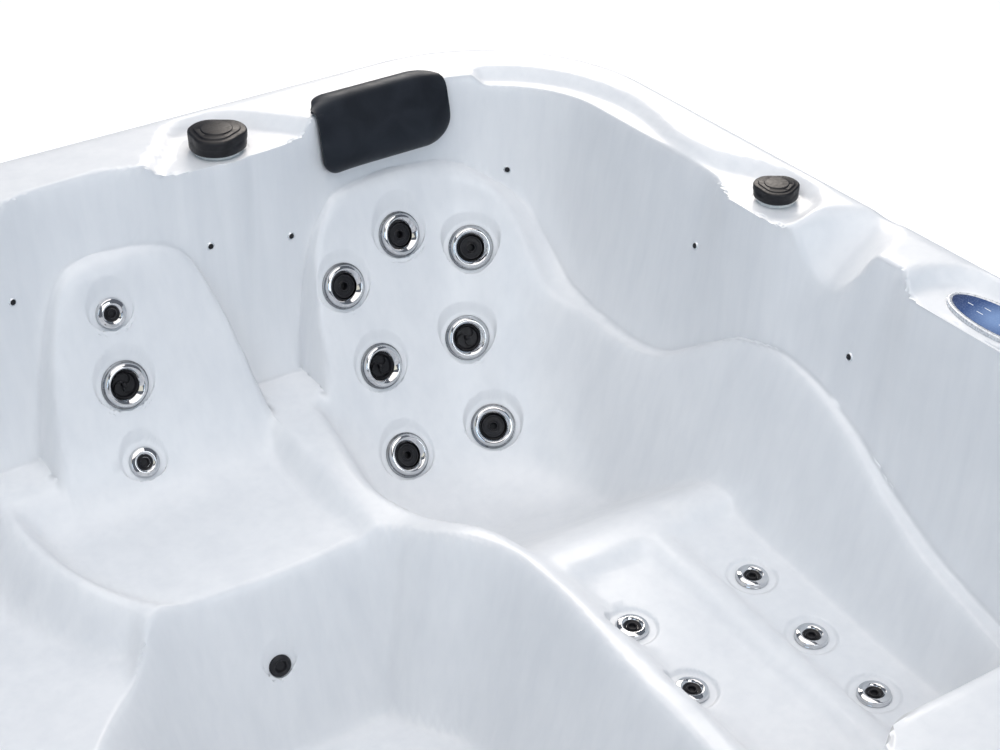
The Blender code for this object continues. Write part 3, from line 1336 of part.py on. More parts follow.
def pillow_ring(x, t):
    ys = np.linspace(PILLOW_TOP_share * HALF_WIDTH, (PILLOW_TOP_share - 0.12) * HALF_WIDTH, 160)
    z = TUB_HEIGHT - surface_depth(np.full(ys.shape, x), ys)
    run = np.concatenate([[0.0], np.cumsum(np.hypot(np.diff(ys), np.diff(z)))])
    full = np.interp(PILLOW_LOW_DEPTH, TUB_HEIGHT - z, run)
    reach = 1.0 - 0.5 * (1.0 - (1.0 - min(abs(t), 0.999) ** PILLOW_CORNER_POWER) ** (1.0 / PILLOW_CORNER_POWER))
    ends = math.sqrt(max(0.0, 1.0 - abs(t) ** PILLOW_CROWN_POWER))
    front, back = [], []
    for k in range(PILLOW_COLUMNS):
        s = -1.0 + 2.0 * k / (PILLOW_COLUMNS - 1)
        s = math.copysign(1.0 - (1.0 - abs(s)) ** 1.4, s)
        at = full * (0.5 + 0.5 * s * reach)
        here = np.array([np.interp(at, run, ys), np.interp(at, run, z)])
        ahead = np.array([np.interp(at + SLOPE_STEP, run, ys), np.interp(at + SLOPE_STEP, run, z)])
        tangent = (ahead - here) / np.linalg.norm(ahead - here)
        out = np.array([-tangent[1], tangent[0]])
        out = -out if out[1] < 0.0 else out
        crown = math.sqrt(max(0.0, 1.0 - abs(s) ** PILLOW_CROWN_POWER)) * ends
        high = here + out * (PILLOW_GAP + PILLOW_EDGE + (PILLOW_THICK - PILLOW_EDGE) * crown)
        front.append((x, high[0], high[1]))
        if 0 < k < PILLOW_COLUMNS - 1:
            low = here + out * (PILLOW_GAP + PILLOW_EDGE * 0.5 * (1.0 - crown))
            back.append((x, low[0], low[1]))
    return front + back[::-1]


PANEL_PLACE = PANEL_SEAT.matrix(PANEL_SPIN)


def build_housing(look):
    long, wide = PANEL_HALF_LONG, PANEL_HALF_WIDE
    narrow = (long - PANEL_LEDGE, wide - PANEL_LEDGE)
    body = (long * PANEL_BODY_share, wide * PANEL_BODY_share)
    base = PAD_Z
    floor = base + PANEL_HIGH - SCREEN_THICK - CLEARANCE
    housing = skin("panel_housing", [
        oval(*body, -PANEL_BODY_LONG), oval(*body, base), oval(long, wide, base),
        oval(long, wide, base + PANEL_HIGH * 0.5), oval(long - COLLAR * 0.3, wide - COLLAR * 0.3, base + PANEL_HIGH),
    ], PANEL_PLACE, smooth=False)
    recess = skin("recess", [oval(*narrow, floor), oval(*narrow, base + PANEL_HIGH + OVERRUN)], PANEL_PLACE)
    well = button_shape("button_well", COLLAR * 0.1, floor - BUTTON_LONG, floor + OVERRUN)
    return dress(cut(housing, [recess, well]), look)


def button_shape(name, more, low, high):
    half, wide = BUTTON_HALF_LONG + more, BUTTON_HALF_WIDE + more
    points = rounded_outline(half, wide, wide * 0.98, 4)
    rings = [[(x + BUTTON_SHIFT, y, z) for x, y in points] for z in (low, high)]
    return skin(name, rings, PANEL_PLACE)


def build_screen(look):
    low = PAD_Z + PANEL_HIGH - SCREEN_THICK
    size = (PANEL_HALF_LONG - PANEL_LEDGE - CLEARANCE, PANEL_HALF_WIDE - PANEL_LEDGE - CLEARANCE)
    screen = skin("panel_screen", [oval(*size, low), oval(*size, low + SCREEN_THICK)], PANEL_PLACE)
    hole = button_shape("button_hole", COLLAR * 0.1, low - OVERRUN, low + SCREEN_THICK + OVERRUN)
    return dress(cut(screen, [hole]), look)


def build_button(look):
    top = PAD_Z + PANEL_HIGH + BUTTON_PROUD
    low = PAD_Z + PANEL_HIGH - SCREEN_THICK - CLEARANCE - BUTTON_LONG + BUTTON_TRAVEL + CLEARANCE
    return dress(button_shape("panel_button", -CLEARANCE + COLLAR * 0.1, low, top), look)


FILTER_AT = Vector(FILTER_SEAT.centre)


def build_canister(look):
    flange = CANISTER + CANISTER_FLANGE
    top = PAD_Z + CANISTER_FLANGE_HIGH
    outer = CANISTER
    return dress(turned("filter_canister", [
        (0.0, CANISTER_WALL - CANISTER_LONG), (outer - CANISTER_WALL, CANISTER_WALL - CANISTER_LONG),
        (outer - CANISTER_WALL, top), (flange, top), (flange, PAD_Z), (outer, PAD_Z), (outer, -CANISTER_LONG),
        (0.0, -CANISTER_LONG),
    ], FILTER_SIDES, FILTER_SEAT.matrix()), look)


def build_cartridge(look):
    low = CANISTER_WALL - CANISTER_LONG + CLEARANCE
    high = PAD_Z - CANISTER_FLANGE_HIGH
    def ring(radius, z, pleats=0.0):
        points = []
        for k in range(PLEATS * 2):
            angle = math.tau * k / (PLEATS * 2)
            r = radius - (PLEAT_DEEP * pleats if k % 2 else 0.0)
            points.append((r * math.cos(angle), r * math.sin(angle), z))
        return points

    inner = CARTRIDGE - COLLAR * 0.5
    return dress(skin("filter_cartridge", [
        ring(CARTRIDGE, low), ring(CARTRIDGE, low + CARTRIDGE_CAP), ring(inner, low + CARTRIDGE_CAP, 1.0),
        ring(inner, high - CARTRIDGE_CAP, 1.0), ring(CARTRIDGE, high - CARTRIDGE_CAP), ring(CARTRIDGE, high),
    ], FILTER_SEAT.matrix()), look)


def build_lid(look):
    base = PAD_Z + CANISTER_FLANGE_HIGH + CLEARANCE
    lid = turned("filter_lid", [
        (0.0, base + LID_HIGH), (LID * 0.80, base + LID_HIGH), (LID * 0.97, base + LID_HIGH * 0.7),
        (LID, base + LID_HIGH * 0.3), (LID, base), (0.0, base),
    ], FILTER_SIDES, FILTER_SEAT.matrix())
    grip = block("grip", (0.0, 0.0, base + LID_HIGH), (LID_GRIP_LONG, LID_GRIP_WIDE, LID_GRIP * 2.0), FIN_DEEP,
                 matrix=FILTER_SEAT.matrix())
    return dress(joined(lid, [grip]), look)


def build_suction_cover(look):
    sleeve = within_flats(SUCTION_NECK - JET_WALL)
    return dress(turned("suction_cover", [
        (0.0, PAD_Z + SUCTION_HIGH), (SUCTION * 0.55, PAD_Z + SUCTION_HIGH * 0.94),
        (SUCTION * 0.85, PAD_Z + SUCTION_HIGH * 0.70), (SUCTION, PAD_Z + SUCTION_HIGH * 0.30), (SUCTION, PAD_Z),
        (sleeve, PAD_Z), (sleeve, PAD_Z - COLLAR_LONG), (sleeve - JET_WALL, PAD_Z - COLLAR_LONG),
        (sleeve - JET_WALL, PAD_Z + JET_WALL), (0.0, PAD_Z + JET_WALL),
    ], JET_SIDES, SUCTION_SEAT.matrix()), look)


def small_fitting(name, seat, face, high, neck, nut, back, look):
    """A lens or outlet with a face on the shell, a neck through it and a nut behind it."""
    return dress(turned(name, [
        (0.0, PAD_Z + high), (face * 0.80, PAD_Z + high * 0.85), (face, PAD_Z + high * 0.35), (face, PAD_Z),
        (neck, PAD_Z), (neck, NUT_Z), (nut, NUT_Z), (nut, NUT_Z - NUT_THICK), (neck, -back), (0.0, -back),
    ], JET_SIDES, seat.matrix()), look)


def pin_fitting(name, seat, radius, high, nut, back, look):
    """A small round fitting that fills its hole, with a nut behind the shell."""
    return dress(turned(name, [
        (0.0, high), (radius * 0.7, high * 0.8), (radius, 0.0), (radius, NUT_Z), (nut, NUT_Z),
        (nut, NUT_Z - NUT_THICK), (radius * 0.7, -back), (0.0, -back),
    ], SMALL_SIDES, seat.matrix()), look)


def build_glow(look):
    """Six small lenses in the wall and the cable that joins them behind the shell."""
    lenses = [
        pin_fitting(f"glow_{i}", seat, GLOW, GLOW_HIGH, GLOW_NUT, FITTING_BACK / 3.0, look)
        for i, seat in enumerate(GLOW_SEATS)
    ]
    lenses[0].name = "waterline_lights"
    z = TUB_HEIGHT - CABLE_DROP
    x_far, y_far = HALF_LENGTH - CABLE_INSET, HALF_WIDTH - CABLE_INSET
    bend = LIP_CORNER * 0.8
    first, last = GLOW_SEATS[0], GLOW_SEATS[-1]
    trunk = swept("trunk", [
        Vector((first.centre[0] - CABLE_INSET / 3.0, y_far, z)), Vector((x_far, y_far, z)),
        Vector((x_far, last.centre[1] - CABLE_INSET / 3.0, z)),
    ], CABLE, bend, 6)
    others = lenses[1:] + [trunk]
    for i, seat in enumerate(GLOW_SEATS):
        start = behind(seat, FITTING_BACK / 3.6)
        corner = seat.centre[0] > x_far - bend and seat.centre[1] > y_far - bend
        if corner:
            middle = Vector((x_far - bend, y_far - bend, z))
            out = Vector((1.0, 1.0, 0.0)).normalized() * bend
            end = middle + out
        elif seat.centre[1] > y_far - bend:
            end = Vector((seat.centre[0], y_far, z))
        else:
            end = Vector((x_far, seat.centre[1], z))
        others.append(swept("branch", [start, end], CABLE, bend, 6))
    return joined(lenses[0], others)


def build_drain(look):
    z = RUN_Z
    face = -HALF_WIDTH + SKIRT_INSET
    place = Matrix.Translation((RUN_X, face, z)) @ Matrix.Rotation(math.pi / 2.0, 4, "X")
    run = -(RUN_START_Y - CLEARANCE - face)
    return dress(turned("drain_valve", [
        (0.0, CLEARANCE + DRAIN_HIGH), (DRAIN * 0.85, CLEARANCE + DRAIN_HIGH), (DRAIN, CLEARANCE + DRAIN_HIGH * 0.6),
        (DRAIN, CLEARANCE), (DRAIN_NECK, CLEARANCE), (DRAIN_NECK, -SKIRT_THICK - CLEARANCE),
        (DRAIN, -SKIRT_THICK - CLEARANCE), (DRAIN, -SKIRT_THICK - NUT_THICK), (DRAIN_NECK, -SKIRT_THICK - NUT_THICK),
        (DRAIN_NECK, run), (0.0, run),
    ], 16, place), look)


def drain_hole():
    face = -HALF_WIDTH + SKIRT_INSET
    place = Matrix.Translation((RUN_X, face, RUN_Z)) @ Matrix.Rotation(math.pi / 2.0, 4, "X")
    radius = DRAIN_NECK + CLEARANCE
    return turned("drain_hole", [
        (0.0, OVERRUN), (radius, OVERRUN), (radius, -SKIRT_THICK - OVERRUN), (0.0, -SKIRT_THICK - OVERRUN),
    ], 16, place, smooth=False)


def main():
    clear_scene()
    acrylic = material("acrylic", (0.86, 0.88, 0.90), 0.18)
    cabinet = material("cabinet", (0.30, 0.31, 0.33), 0.55)
    tray = material("tray", (0.08, 0.08, 0.09), 0.60)
    timber = material("timber", (0.62, 0.45, 0.28), 0.75)
    pipework = material("pipework", (0.88, 0.88, 0.86), 0.35)
    black = material("black_plastic", (0.02, 0.02, 0.022), 0.38)
    chrome = material("chrome", (0.82, 0.83, 0.85), 0.10, 1.0)
    steel = material("steel", (0.60, 0.61, 0.62), 0.32, 1.0)
    motor = material("motor_paint", (0.10, 0.11, 0.13), 0.45)
    cushion = material("cushion", (0.03, 0.032, 0.036), 0.50)
    blue = material("screen", (0.05, 0.10, 0.24), 0.15)
    pale = material("pale_plastic", (0.70, 0.72, 0.74), 0.40)
    paper = material("filter_paper", (0.82, 0.84, 0.86), 0.85)

    build_shell(acrylic)
    front = skirt("skirt_front", cabinet, HALF_LENGTH, HALF_WIDTH, 0.0)
    cut(front, [drain_hole()])
    skirt("skirt_right", cabinet, HALF_WIDTH, HALF_LENGTH, math.pi / 2.0)
    skirt("skirt_back", cabinet, HALF_LENGTH, HALF_WIDTH, math.pi)
    skirt("skirt_left", cabinet, HALF_WIDTH, HALF_LENGTH, -math.pi / 2.0)
    corner_panel("corner_back_right", cabinet, 1, 1)
    corner_panel("corner_back_left", cabinet, -1, 1)
    corner_panel("corner_front_left", cabinet, -1, -1)
    corner_panel("corner_front_right", cabinet, 1, -1)
    build_tray(tray)
    build_frame(timber)
    build_motor(motor)
    build_wet_end(black)
    build_heater(steel)
    electric_box("control_box", CONTROL_BOX, CONTROL_share, (-0.3, 0.0, 0.3), pale)
    electric_box("ozone_generator", OZONE_BOX, OZONE_BOX_share, (0.0,), pale)
    build_suction(pipework)
    build_manifold(pipework)
    back = LARGE_JETS[:7]
    plumbing("lounge_back_plumbing", pipework, back, [], ((5, 3, 1, 0, 2, 4, 6),),
             (5, RUN_X, BACK_FEED_share * HALF_WIDTH))
    plumbing("lounge_leg_plumbing", pipework, [], SMALL_JETS[2:], ((2, 1, 0, 3, 4),),
             (3, RUN_X, LEG_FEED.y))
    plumbing("middle_seat_plumbing", pipework, LARGE_JETS[7:], SMALL_JETS[:2], ((1, 0, 2),),
             (2, SEAT_FEED_share * HALF_LENGTH, RUN_END_Y))
    for seat, name in zip(LARGE_JETS, LARGE_JET_NAMES):
        bezel(f"jet_bezel_{name}", seat, chrome)
        nozzle = rotor if name in SPINNING_JETS else ball_nozzle
        nozzle(f"jet_nozzle_{name}", seat, black)
    for seat, name in zip(SMALL_JETS, SMALL_JET_NAMES):
        small_ring(f"jet_ring_{name}", seat, chrome)
    build_diverter_body(pipework)
    build_air_body(pipework)
    lobed_cap("diverter_cap", DIVERTER_SEAT, DIVERTER_CAP, DIVERTER_CAP_HIGH - COLLAR, CAP_BASE, black)
    lobed_cap("air_control_cap", AIR_SEAT, AIR_CAP, AIR_CAP_HIGH - COLLAR, CAP_BASE, black)
    build_pillow(cushion)
    build_housing(pale)
    build_screen(blue)
    build_button(pale)
    build_canister(pale)
    build_cartridge(paper)
    build_lid(pale)
    build_suction_cover(pale)
    small_fitting("footwell_light", LIGHT_SEAT, LIGHT, LIGHT_HIGH, LIGHT_NECK, LIGHT_NUT, LIGHT_BACK, black)
    pin_fitting("ozone_outlet", OZONE_SEAT, OZONE, OZONE * 0.3, OZONE_NUT, LIGHT_BACK, black)
    build_glow(pale)
    build_drain(black)


main()
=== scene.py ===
import json
import math

import bmesh
import bpy
import numpy as np
from mathutils import Matrix, Vector


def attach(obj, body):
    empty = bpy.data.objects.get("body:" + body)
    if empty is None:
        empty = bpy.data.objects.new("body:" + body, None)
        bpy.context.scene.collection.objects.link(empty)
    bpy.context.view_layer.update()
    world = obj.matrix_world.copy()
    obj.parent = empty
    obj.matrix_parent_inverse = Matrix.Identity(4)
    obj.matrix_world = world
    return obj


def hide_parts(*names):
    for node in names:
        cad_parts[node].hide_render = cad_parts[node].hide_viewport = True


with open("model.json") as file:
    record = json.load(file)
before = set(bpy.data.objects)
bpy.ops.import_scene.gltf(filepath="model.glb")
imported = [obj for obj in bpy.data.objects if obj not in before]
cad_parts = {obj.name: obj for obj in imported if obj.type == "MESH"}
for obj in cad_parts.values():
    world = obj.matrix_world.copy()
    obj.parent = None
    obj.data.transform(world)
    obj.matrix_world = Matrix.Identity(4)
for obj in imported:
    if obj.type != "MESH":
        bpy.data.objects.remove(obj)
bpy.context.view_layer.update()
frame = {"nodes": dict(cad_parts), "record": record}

# Camera: its place, its axes and its focal length, found from the photo's straight rims
CAMERA_AT = (-0.925, -1.715, 2.262)
CAMERA_RIGHT = (0.82368, -0.56706, 0.0)
CAMERA_UP = (0.30307, 0.44023, 0.84519)
CAMERA_FORWARD = (0.47927, 0.69616, -0.53447)
SENSOR = 36.0
CAMERA_LENS = 69.72

# Overall sizes in metres. The back wall is at +Y, the lounge lies along the +X wall, the ground is Z = 0.
TUB_LENGTH = 2.10
TUB_WIDTH = 2.10
TUB_HEIGHT = 0.90
OUTER_CORNER = 0.34
CLEARANCE = 0.0003
OVERRUN = 0.004
WELD = 0.0001

# Shell
SHELL_THICK = 0.006
RIM_ROUND = 0.026
RIM_SKIRT = 0.030
BACK_RIM_WIDTH = 0.145
SIDE_RIM_WIDTH = 0.118
LIP_CORNER = 0.21
LIP_SOFT = 0.030
WALL_LEAN_share = 0.17
NOSE_BACK = 0.040
NOSE_SIDE = 0.034
NOSE_PANEL = 0.026
NOSE_DEPTH = 0.30
POCKET_DEPTH = 0.020
POCKET_SOFT = 0.010
POCKET_EDGE_SOFT = 0.006
POCKET_LEAN_share = 1.1
BENCH_DEPTH = 0.450
LEDGE_SOFT = 0.014
LEDGE_SLOPE_share = 0.25
LEDGE_START = 0.030
LEDGE_WIDTH = 0.050
ARCH_OFF_START = 0.20
ARCH_OFF_END = 0.26
SEAT_EDGE_SOFT = 0.030
CREST_SOFT = 0.026
SEAT_LEAN_share = 0.45

# Footwell
FOOTWELL_DEPTH = 0.780
FOOTWELL_LIP_DEPTH = 0.478
FOOTWELL_LEAN_share = 0.25
FOOTWELL_SOFT = 0.045
FOOTWELL_LIP_SOFT = 0.035

# Lounge
HIP_DEPTH = 0.640
LEG_GROOVE_DEPTH = 0.016
LEG_GROOVE_EDGE = 0.012
ARMREST_FACE_INSET = 0.186
ARMREST_FACE_DEPTH = 0.25
ARMREST_LEAN_share = 0.26
LOUNGE_CORNER = 0.20
LOUNGE_SOFT = 0.050

# Seats
SEAT_DEPTH = 0.490
ARCH_TOP_DEPTH = 0.112
ARCH_FALL = 0.40
ARCH_SOFT = 0.020
CORNER_SEAT_DEPTH = 0.540
FRONT_CORNER_SEAT_DEPTH = 0.510
FRONT_SEAT_DEPTH = 0.485
FILTER_SHELF_DEPTH = 0.290

# Grip scoop in the right rim
SCOOP_START = 0.020
SCOOP_FALL_share = 0.85
SCOOP_HALF = 0.072
SCOOP_DEPTH = 0.070
SCOOP_SOFT = 0.030
SCOOP_REACH = 0.170
SCOOP_END_share = 10.0

# Outlines of the moulded shapes, in shares of the half length and the half width.
DIVERTER_POCKET_shares = (
    (0.157, 0.762), (0.176, 0.862), (0.224, 0.900), (0.252, 0.952), (0.314, 0.970),
    (0.371, 0.957), (0.419, 0.905), (0.467, 0.852), (0.476, 0.762),
)
LEFT_POCKET_shares = (
    (-0.043, 0.762), (-0.043, 0.862), (-0.110, 0.900), (-0.138, 0.952), (-0.200, 0.970),
    (-0.257, 0.957), (-0.305, 0.905), (-0.352, 0.852), (-0.362, 0.762),
)
CORNER_POCKET_shares = (
    (0.762, 0.886), (0.838, 0.857), (0.900, 0.790), (0.938, 0.695), (0.943, 0.590), (0.912, 0.476),
    (0.919, 0.390), (0.957, 0.329), (0.973, 0.257), (0.962, 0.190), (0.886, 0.157), (0.810, 0.157),
    (0.762, 0.571),
)
PANEL_POCKET_shares = (
    (0.800, -0.048), (0.886, -0.043), (0.938, -0.052), (0.973, -0.086), (0.979, -0.152),
    (0.979, -0.314), (0.967, -0.352), (0.886, -0.376), (0.800, -0.376),
)
FOOTWELL_shares = (
    (-0.067, 0.419), (0.124, 0.389), (0.310, 0.405), (0.335, 0.310), (0.398, 0.224), (0.400, 0.086),
    (0.373, -0.114), (0.357, -0.400), (0.267, -0.476), (-0.286, -0.457), (-0.410, -0.343),
    (-0.400, 0.048), (-0.229, 0.286),
)
MIDDLE_SEAT_shares = (
    (-0.143, 0.819), (-0.157, 0.600), (-0.114, 0.476), (-0.038, 0.381), (0.152, 0.343),
    (0.300, 0.352), (0.286, 0.524), (0.276, 0.667), (0.276, 0.819),
)
CORNER_SEAT_shares = (
    (-0.167, 0.857), (-0.186, 0.629), (-0.143, 0.495), (-0.048, 0.381), (-0.286, 0.095),
    (-0.476, -0.057), (-0.905, -0.057), (-0.905, 0.857),
)
FRONT_CORNER_SEAT_shares = (
    (-0.905, -0.133), (-0.495, -0.133), (-0.362, -0.286), (-0.267, -0.381), (-0.286, -0.590),
    (-0.286, -0.886), (-0.905, -0.886),
)
FRONT_SEAT_shares = (
    (-0.190, -0.886), (-0.210, -0.571), (-0.171, -0.381), (0.286, -0.381), (0.343, -0.571),
    (0.343, -0.886),
)
LOUNGE_BED_shares = (
    (0.386, 0.905), (0.367, 0.667), (0.329, 0.514), (0.333, 0.452), (0.374, 0.348), (0.433, 0.257),
    (0.438, 0.095), (0.430, -0.114), (0.419, -0.381), (0.476, -0.410), (0.905, -0.410),
    (1.000, 0.190), (1.000, 0.905),
)
FILTER_SHELF_shares = (
    (0.419, -0.933), (0.414, -0.571), (0.457, -0.462), (0.905, -0.452), (1.000, -0.571), (1.000, -0.933),
)
LEG_GROOVE_shares = ((0.455, 0.592), (0.636, 0.762))
LEG_GROOVE_HEAD_share = 0.127

# Profiles: where along the half length or half width, and how deep as a share of the named depth.
BENCH_AT_shares = (-0.905, 0.286, 0.390, 0.571, 0.762)
BENCH_DEEP_shares = (0.969, 0.978, 1.027, 0.967, 0.922)
HEAD_AT_shares = (0.367, 0.405, 0.426, 0.452, 0.489, 0.602, 0.700, 0.801, 0.886)
HEAD_DEEP_shares = (0.703, 0.484, 0.336, 0.258, 0.203, 0.183, 0.211, 0.305, 0.406)
ARM_AT_shares = (
    -0.571, -0.438, -0.338, -0.242, -0.139, -0.030, 0.080, 0.147, 0.213, 0.303, 0.399, 0.476, 0.558,
    0.633, 0.705, 0.762, 0.819,
)
ARM_DEEP_shares = (
    0.656, 0.641, 0.598, 0.558, 0.492, 0.400, 0.342, 0.330, 0.348, 0.433, 0.520, 0.536, 0.528, 0.508,
    0.438, 0.352, 0.281,
)
CORNER_BLEND_shares = (-0.048, 0.152)
HEAD_LIMIT_shares = (0.343, 0.400)
SEAT_AT_shares = (
    0.343, 0.400, 0.476, 0.590, 0.633, 0.667, 0.700, 0.724, 0.752, 0.776, 0.798, 0.810, 0.827, 0.848,
)
SEAT_DEEP_shares = (
    0.992, 0.994, 1.000, 0.998, 0.986, 0.953, 0.886, 0.796, 0.649, 0.510, 0.378, 0.296, 0.249, 0.229,
)
BED_AT_shares = (-0.571, -0.286, 0.000, 0.095, 0.167, 0.229, 0.305, 0.390, 0.476, 0.571)
BED_DEEP_shares = (0.781, 0.769, 0.731, 0.716, 0.706, 0.753, 0.852, 0.953, 1.000, 1.000)
BACKREST_DEEP_shares = (
    0.078, 0.175, 0.191, 0.234, 0.312, 0.409, 0.633, 0.781, 0.875, 0.953, 1.000, 1.250,
)
BACKREST_AT_shares = (
    0.867, 0.848, 0.827, 0.811, 0.796, 0.770, 0.710, 0.667, 0.629, 0.581, 0.533, 0.381,
)
REACH_shares = (0.000, 0.043, 0.071, 0.095, 0.124, 0.181, 0.267, 0.952)
REACH_DEEP_shares = (0.000, 0.220, 0.385, 0.600, 0.785, 0.962, 1.000, 1.000)
MIDDLE_ARCH_share = 0.108
MIDDLE_ARCH_HALF_share = 0.190
LEFT_ARCH_shares = (0.400, -0.476)
LEFT_ARCH_HALF_shares = (0.257, 0.238)
FRONT_ARCH_share = 0.076
FRONT_ARCH_HALF_share = 0.210
NOSE_BACK_shares = (0.314, -0.205)
NOSE_BACK_HALF_share = 0.157
NOSE_SIDE_share = 0.243
NOSE_SIDE_HALF_share = 0.095
NOSE_PANEL_shares = (-0.019, -0.095, -0.371, -0.448)
SIDE_ONLY_shares = (0.476, 0.762)
SCOOP_share = 0.095
SECTION_STEPS = 14

# Jets: places in shares of the half length and the half width.
LARGE_JET_shares = (
    (0.585, 0.790), (0.463, 0.768), (0.703, 0.754), (0.494, 0.709), (0.658, 0.699),
    (0.493, 0.634), (0.653, 0.615), (0.065, 0.756),
)
LARGE_JET_NAMES = (
    "lounge_top", "lounge_upper_left", "lounge_upper_right", "lounge_middle_left",
    "lounge_middle_right", "lounge_lower_left", "lounge_lower_right", "middle_seat",
)
SPINNING_JETS = ("lounge_middle_left", "lounge_middle_right", "middle_seat")
SMALL_JET_shares = (
    (0.072, 0.795), (0.060, 0.703), (0.688, -0.003), (0.680, -0.141), (0.676, -0.273),
    (0.473, 0.005), (0.468, -0.134),
)
SMALL_JET_NAMES = (
    "middle_seat_upper", "middle_seat_lower", "calf_right_1", "calf_right_2", "calf_right_3",
    "calf_left_1", "calf_left_2",
)
JET_RECESS = 0.0045
SLOPE_STEP = 0.004
JET_SIDES = 12
JET_WALL = 0.002
LARGE_RING = 0.040
LARGE_RING_HIGH = 0.012
LARGE_NECK = 0.0305
SLEEVE_LONG = 0.014
BEZEL_WALL = 0.0025
BALL_DROP = 0.010
BALL_FRONT = 0.013
BALL_BACK = 0.016
ROTOR_BACK = 0.020
SMALL_RING = 0.0258
SMALL_RING_HIGH = 0.009
SMALL_NECK = 0.0165
SMALL_SLEEVE_LONG = 0.016
SMALL_BORE = 0.0075
NUT_THICK = 0.009
SPREAD_share = 0.13
TURN_WEIGHT = 0.06
FILTER_SHELF_LEAN_share = 0.10

# Other fittings in the shell: places in shares of the half length and the half width.
SUCTION_share = (-0.100, -0.440)
LIGHT_share = (0.097, 0.363)
OZONE_share = (0.510, 0.502)
FILTER_share = (0.671, -0.690)
DIVERTER_share = (0.310, 0.871)
AIR_share = (0.912, 0.250)
PANEL_share = (0.917, -0.190)
GLOW_shares = (
    (-0.066, 0.827), (0.258, 0.819), (0.400, 0.819), (0.803, 0.791), (0.864, 0.368), (0.861, 0.018),
)
SUCTION_PAD = 0.058
LIGHT_PAD = 0.024
OZONE_PAD = 0.008
OZONE_RECESS = 0.001
FILTER_PAD = 0.125
DIVERTER_PAD = 0.056
AIR_PAD = 0.040
PANEL_PAD = 0.040
GLOW_PAD = 0.009
GLOW_RECESS = 0.0005

# How the fittings sit in the shell
SPOT_FACE = 0.0005
SPOT_MARGIN = 0.001
GASKET = 0.0030
COLLAR = 0.008
COLLAR_LONG = 0.026
HOLE_REACH = OVERRUN * 5.0
HOLE_SIDES = 24

# Wall fittings
SUCTION = 0.052
SUCTION_HIGH = 0.016
SUCTION_NECK = 0.030
LIGHT = 0.0185
LIGHT_HIGH = 0.005
LIGHT_NECK = 0.0115
LIGHT_NUT = 0.019
LIGHT_BACK = 0.030
OZONE = 0.0042
GLOW = 0.0055
GLOW_HIGH = 0.0022

# Filter
CANISTER = 0.100
CANISTER_FLANGE = 0.016
CANISTER_FLANGE_HIGH = 0.005
LID = 0.113
LID_HIGH = 0.014
LID_GRIP = 0.012
LID_GRIP_WIDE = 0.022
LID_GRIP_LONG = 0.130

# Valves and their caps in the rim
DIVERTER_NECK = 0.030
DIVERTER_CAP = 0.050
DIVERTER_CAP_HIGH = 0.040
AIR_NECK = 0.018
AIR_CAP = 0.037
AIR_CAP_HIGH = 0.030

# Touch panel
PANEL_HALF_LONG = 0.094
PANEL_HALF_WIDE = 0.040
PANEL_HIGH = 0.006
PANEL_BODY_share = 0.82
PANEL_BODY_LONG = 0.030
PANEL_LEDGE = 0.008
SCREEN_THICK = 0.002
BUTTON_HALF_LONG = 0.007
BUTTON_HALF_WIDE = 0.003
BUTTON_PROUD = 0.0008
BUTTON_TRAVEL = 0.0008
BUTTON_SHIFT = 0.045
PANEL_SPIN = math.pi / 2.0

# Finer shapes of the visual pieces
ROUND_SIDES = 64
KNOB_SIDES = 144
OVAL_SIDES = 96
LENS_SIDES = 32
LID_SIDES = 120
SHARP = math.radians(32.0)
KNOB_SHARP = math.radians(50.0)
FRAME_SHARP = math.radians(40.0)
PANEL_SHARP = math.radians(35.0)
PILLOW_SHARP = math.radians(80.0)

# Mesh of the shell, and the exact normals of its moulded face
MOULD_FINE = 640
SHELL_LINES = 190
SEAT_CUTS = 3
PAD_EDGE = 0.006
LARGE_PAD = 0.048
SMALL_PAD = 0.036
INNER_share = 0.95
NORMAL_STEP = 0.0012
NORMAL_STEP_FAR = 0.0090
NORMAL_REACH = 0.0008
NORMAL_FACING = 0.5

# Jets
THROAT = 0.0222
THROAT_LIP = 0.0022
THROAT_UP = 0.0052
CREST = 0.0305
CREST_ROUND = 0.0030
DOME_DROP = 0.0030
FLANGE_OUT = 0.0030
FLANGE_HIGH = 0.0022
FLANGE_ROUND = 0.0008
RELIEF = 0.0008
BORE_DEEP = 0.012
NOZZLE_BORE = 0.0065
RAISED_RING = 0.0105
HUB = 0.0048
ROTOR_DISH = 0.0045
ROTOR_DISH_share = 0.78
VANES = 3
VANE_STEPS = 10
VANE_SWEEP = 1.25
VANE_THICK = 0.0011
VANE_REACH_share = 0.80
SMALL_THROAT = 0.0126
SMALL_THROAT_UP = 0.0040
SMALL_CREST = 0.0172
SMALL_SHOULDER = 0.0042
SMALL_FALL = 0.0012

# The small rings' black outlet: shares of its radius, and heights in steps of the relief
OUTLET_FLOOR = ((0.0, -3.0), (0.42, -3.0), (0.46, 1.5))
OUTLET_EDGE = ((0.68, 0.0), (0.92, 1.0), (1.0, 2.0), (1.0, -4.0), (0.0, -4.0))

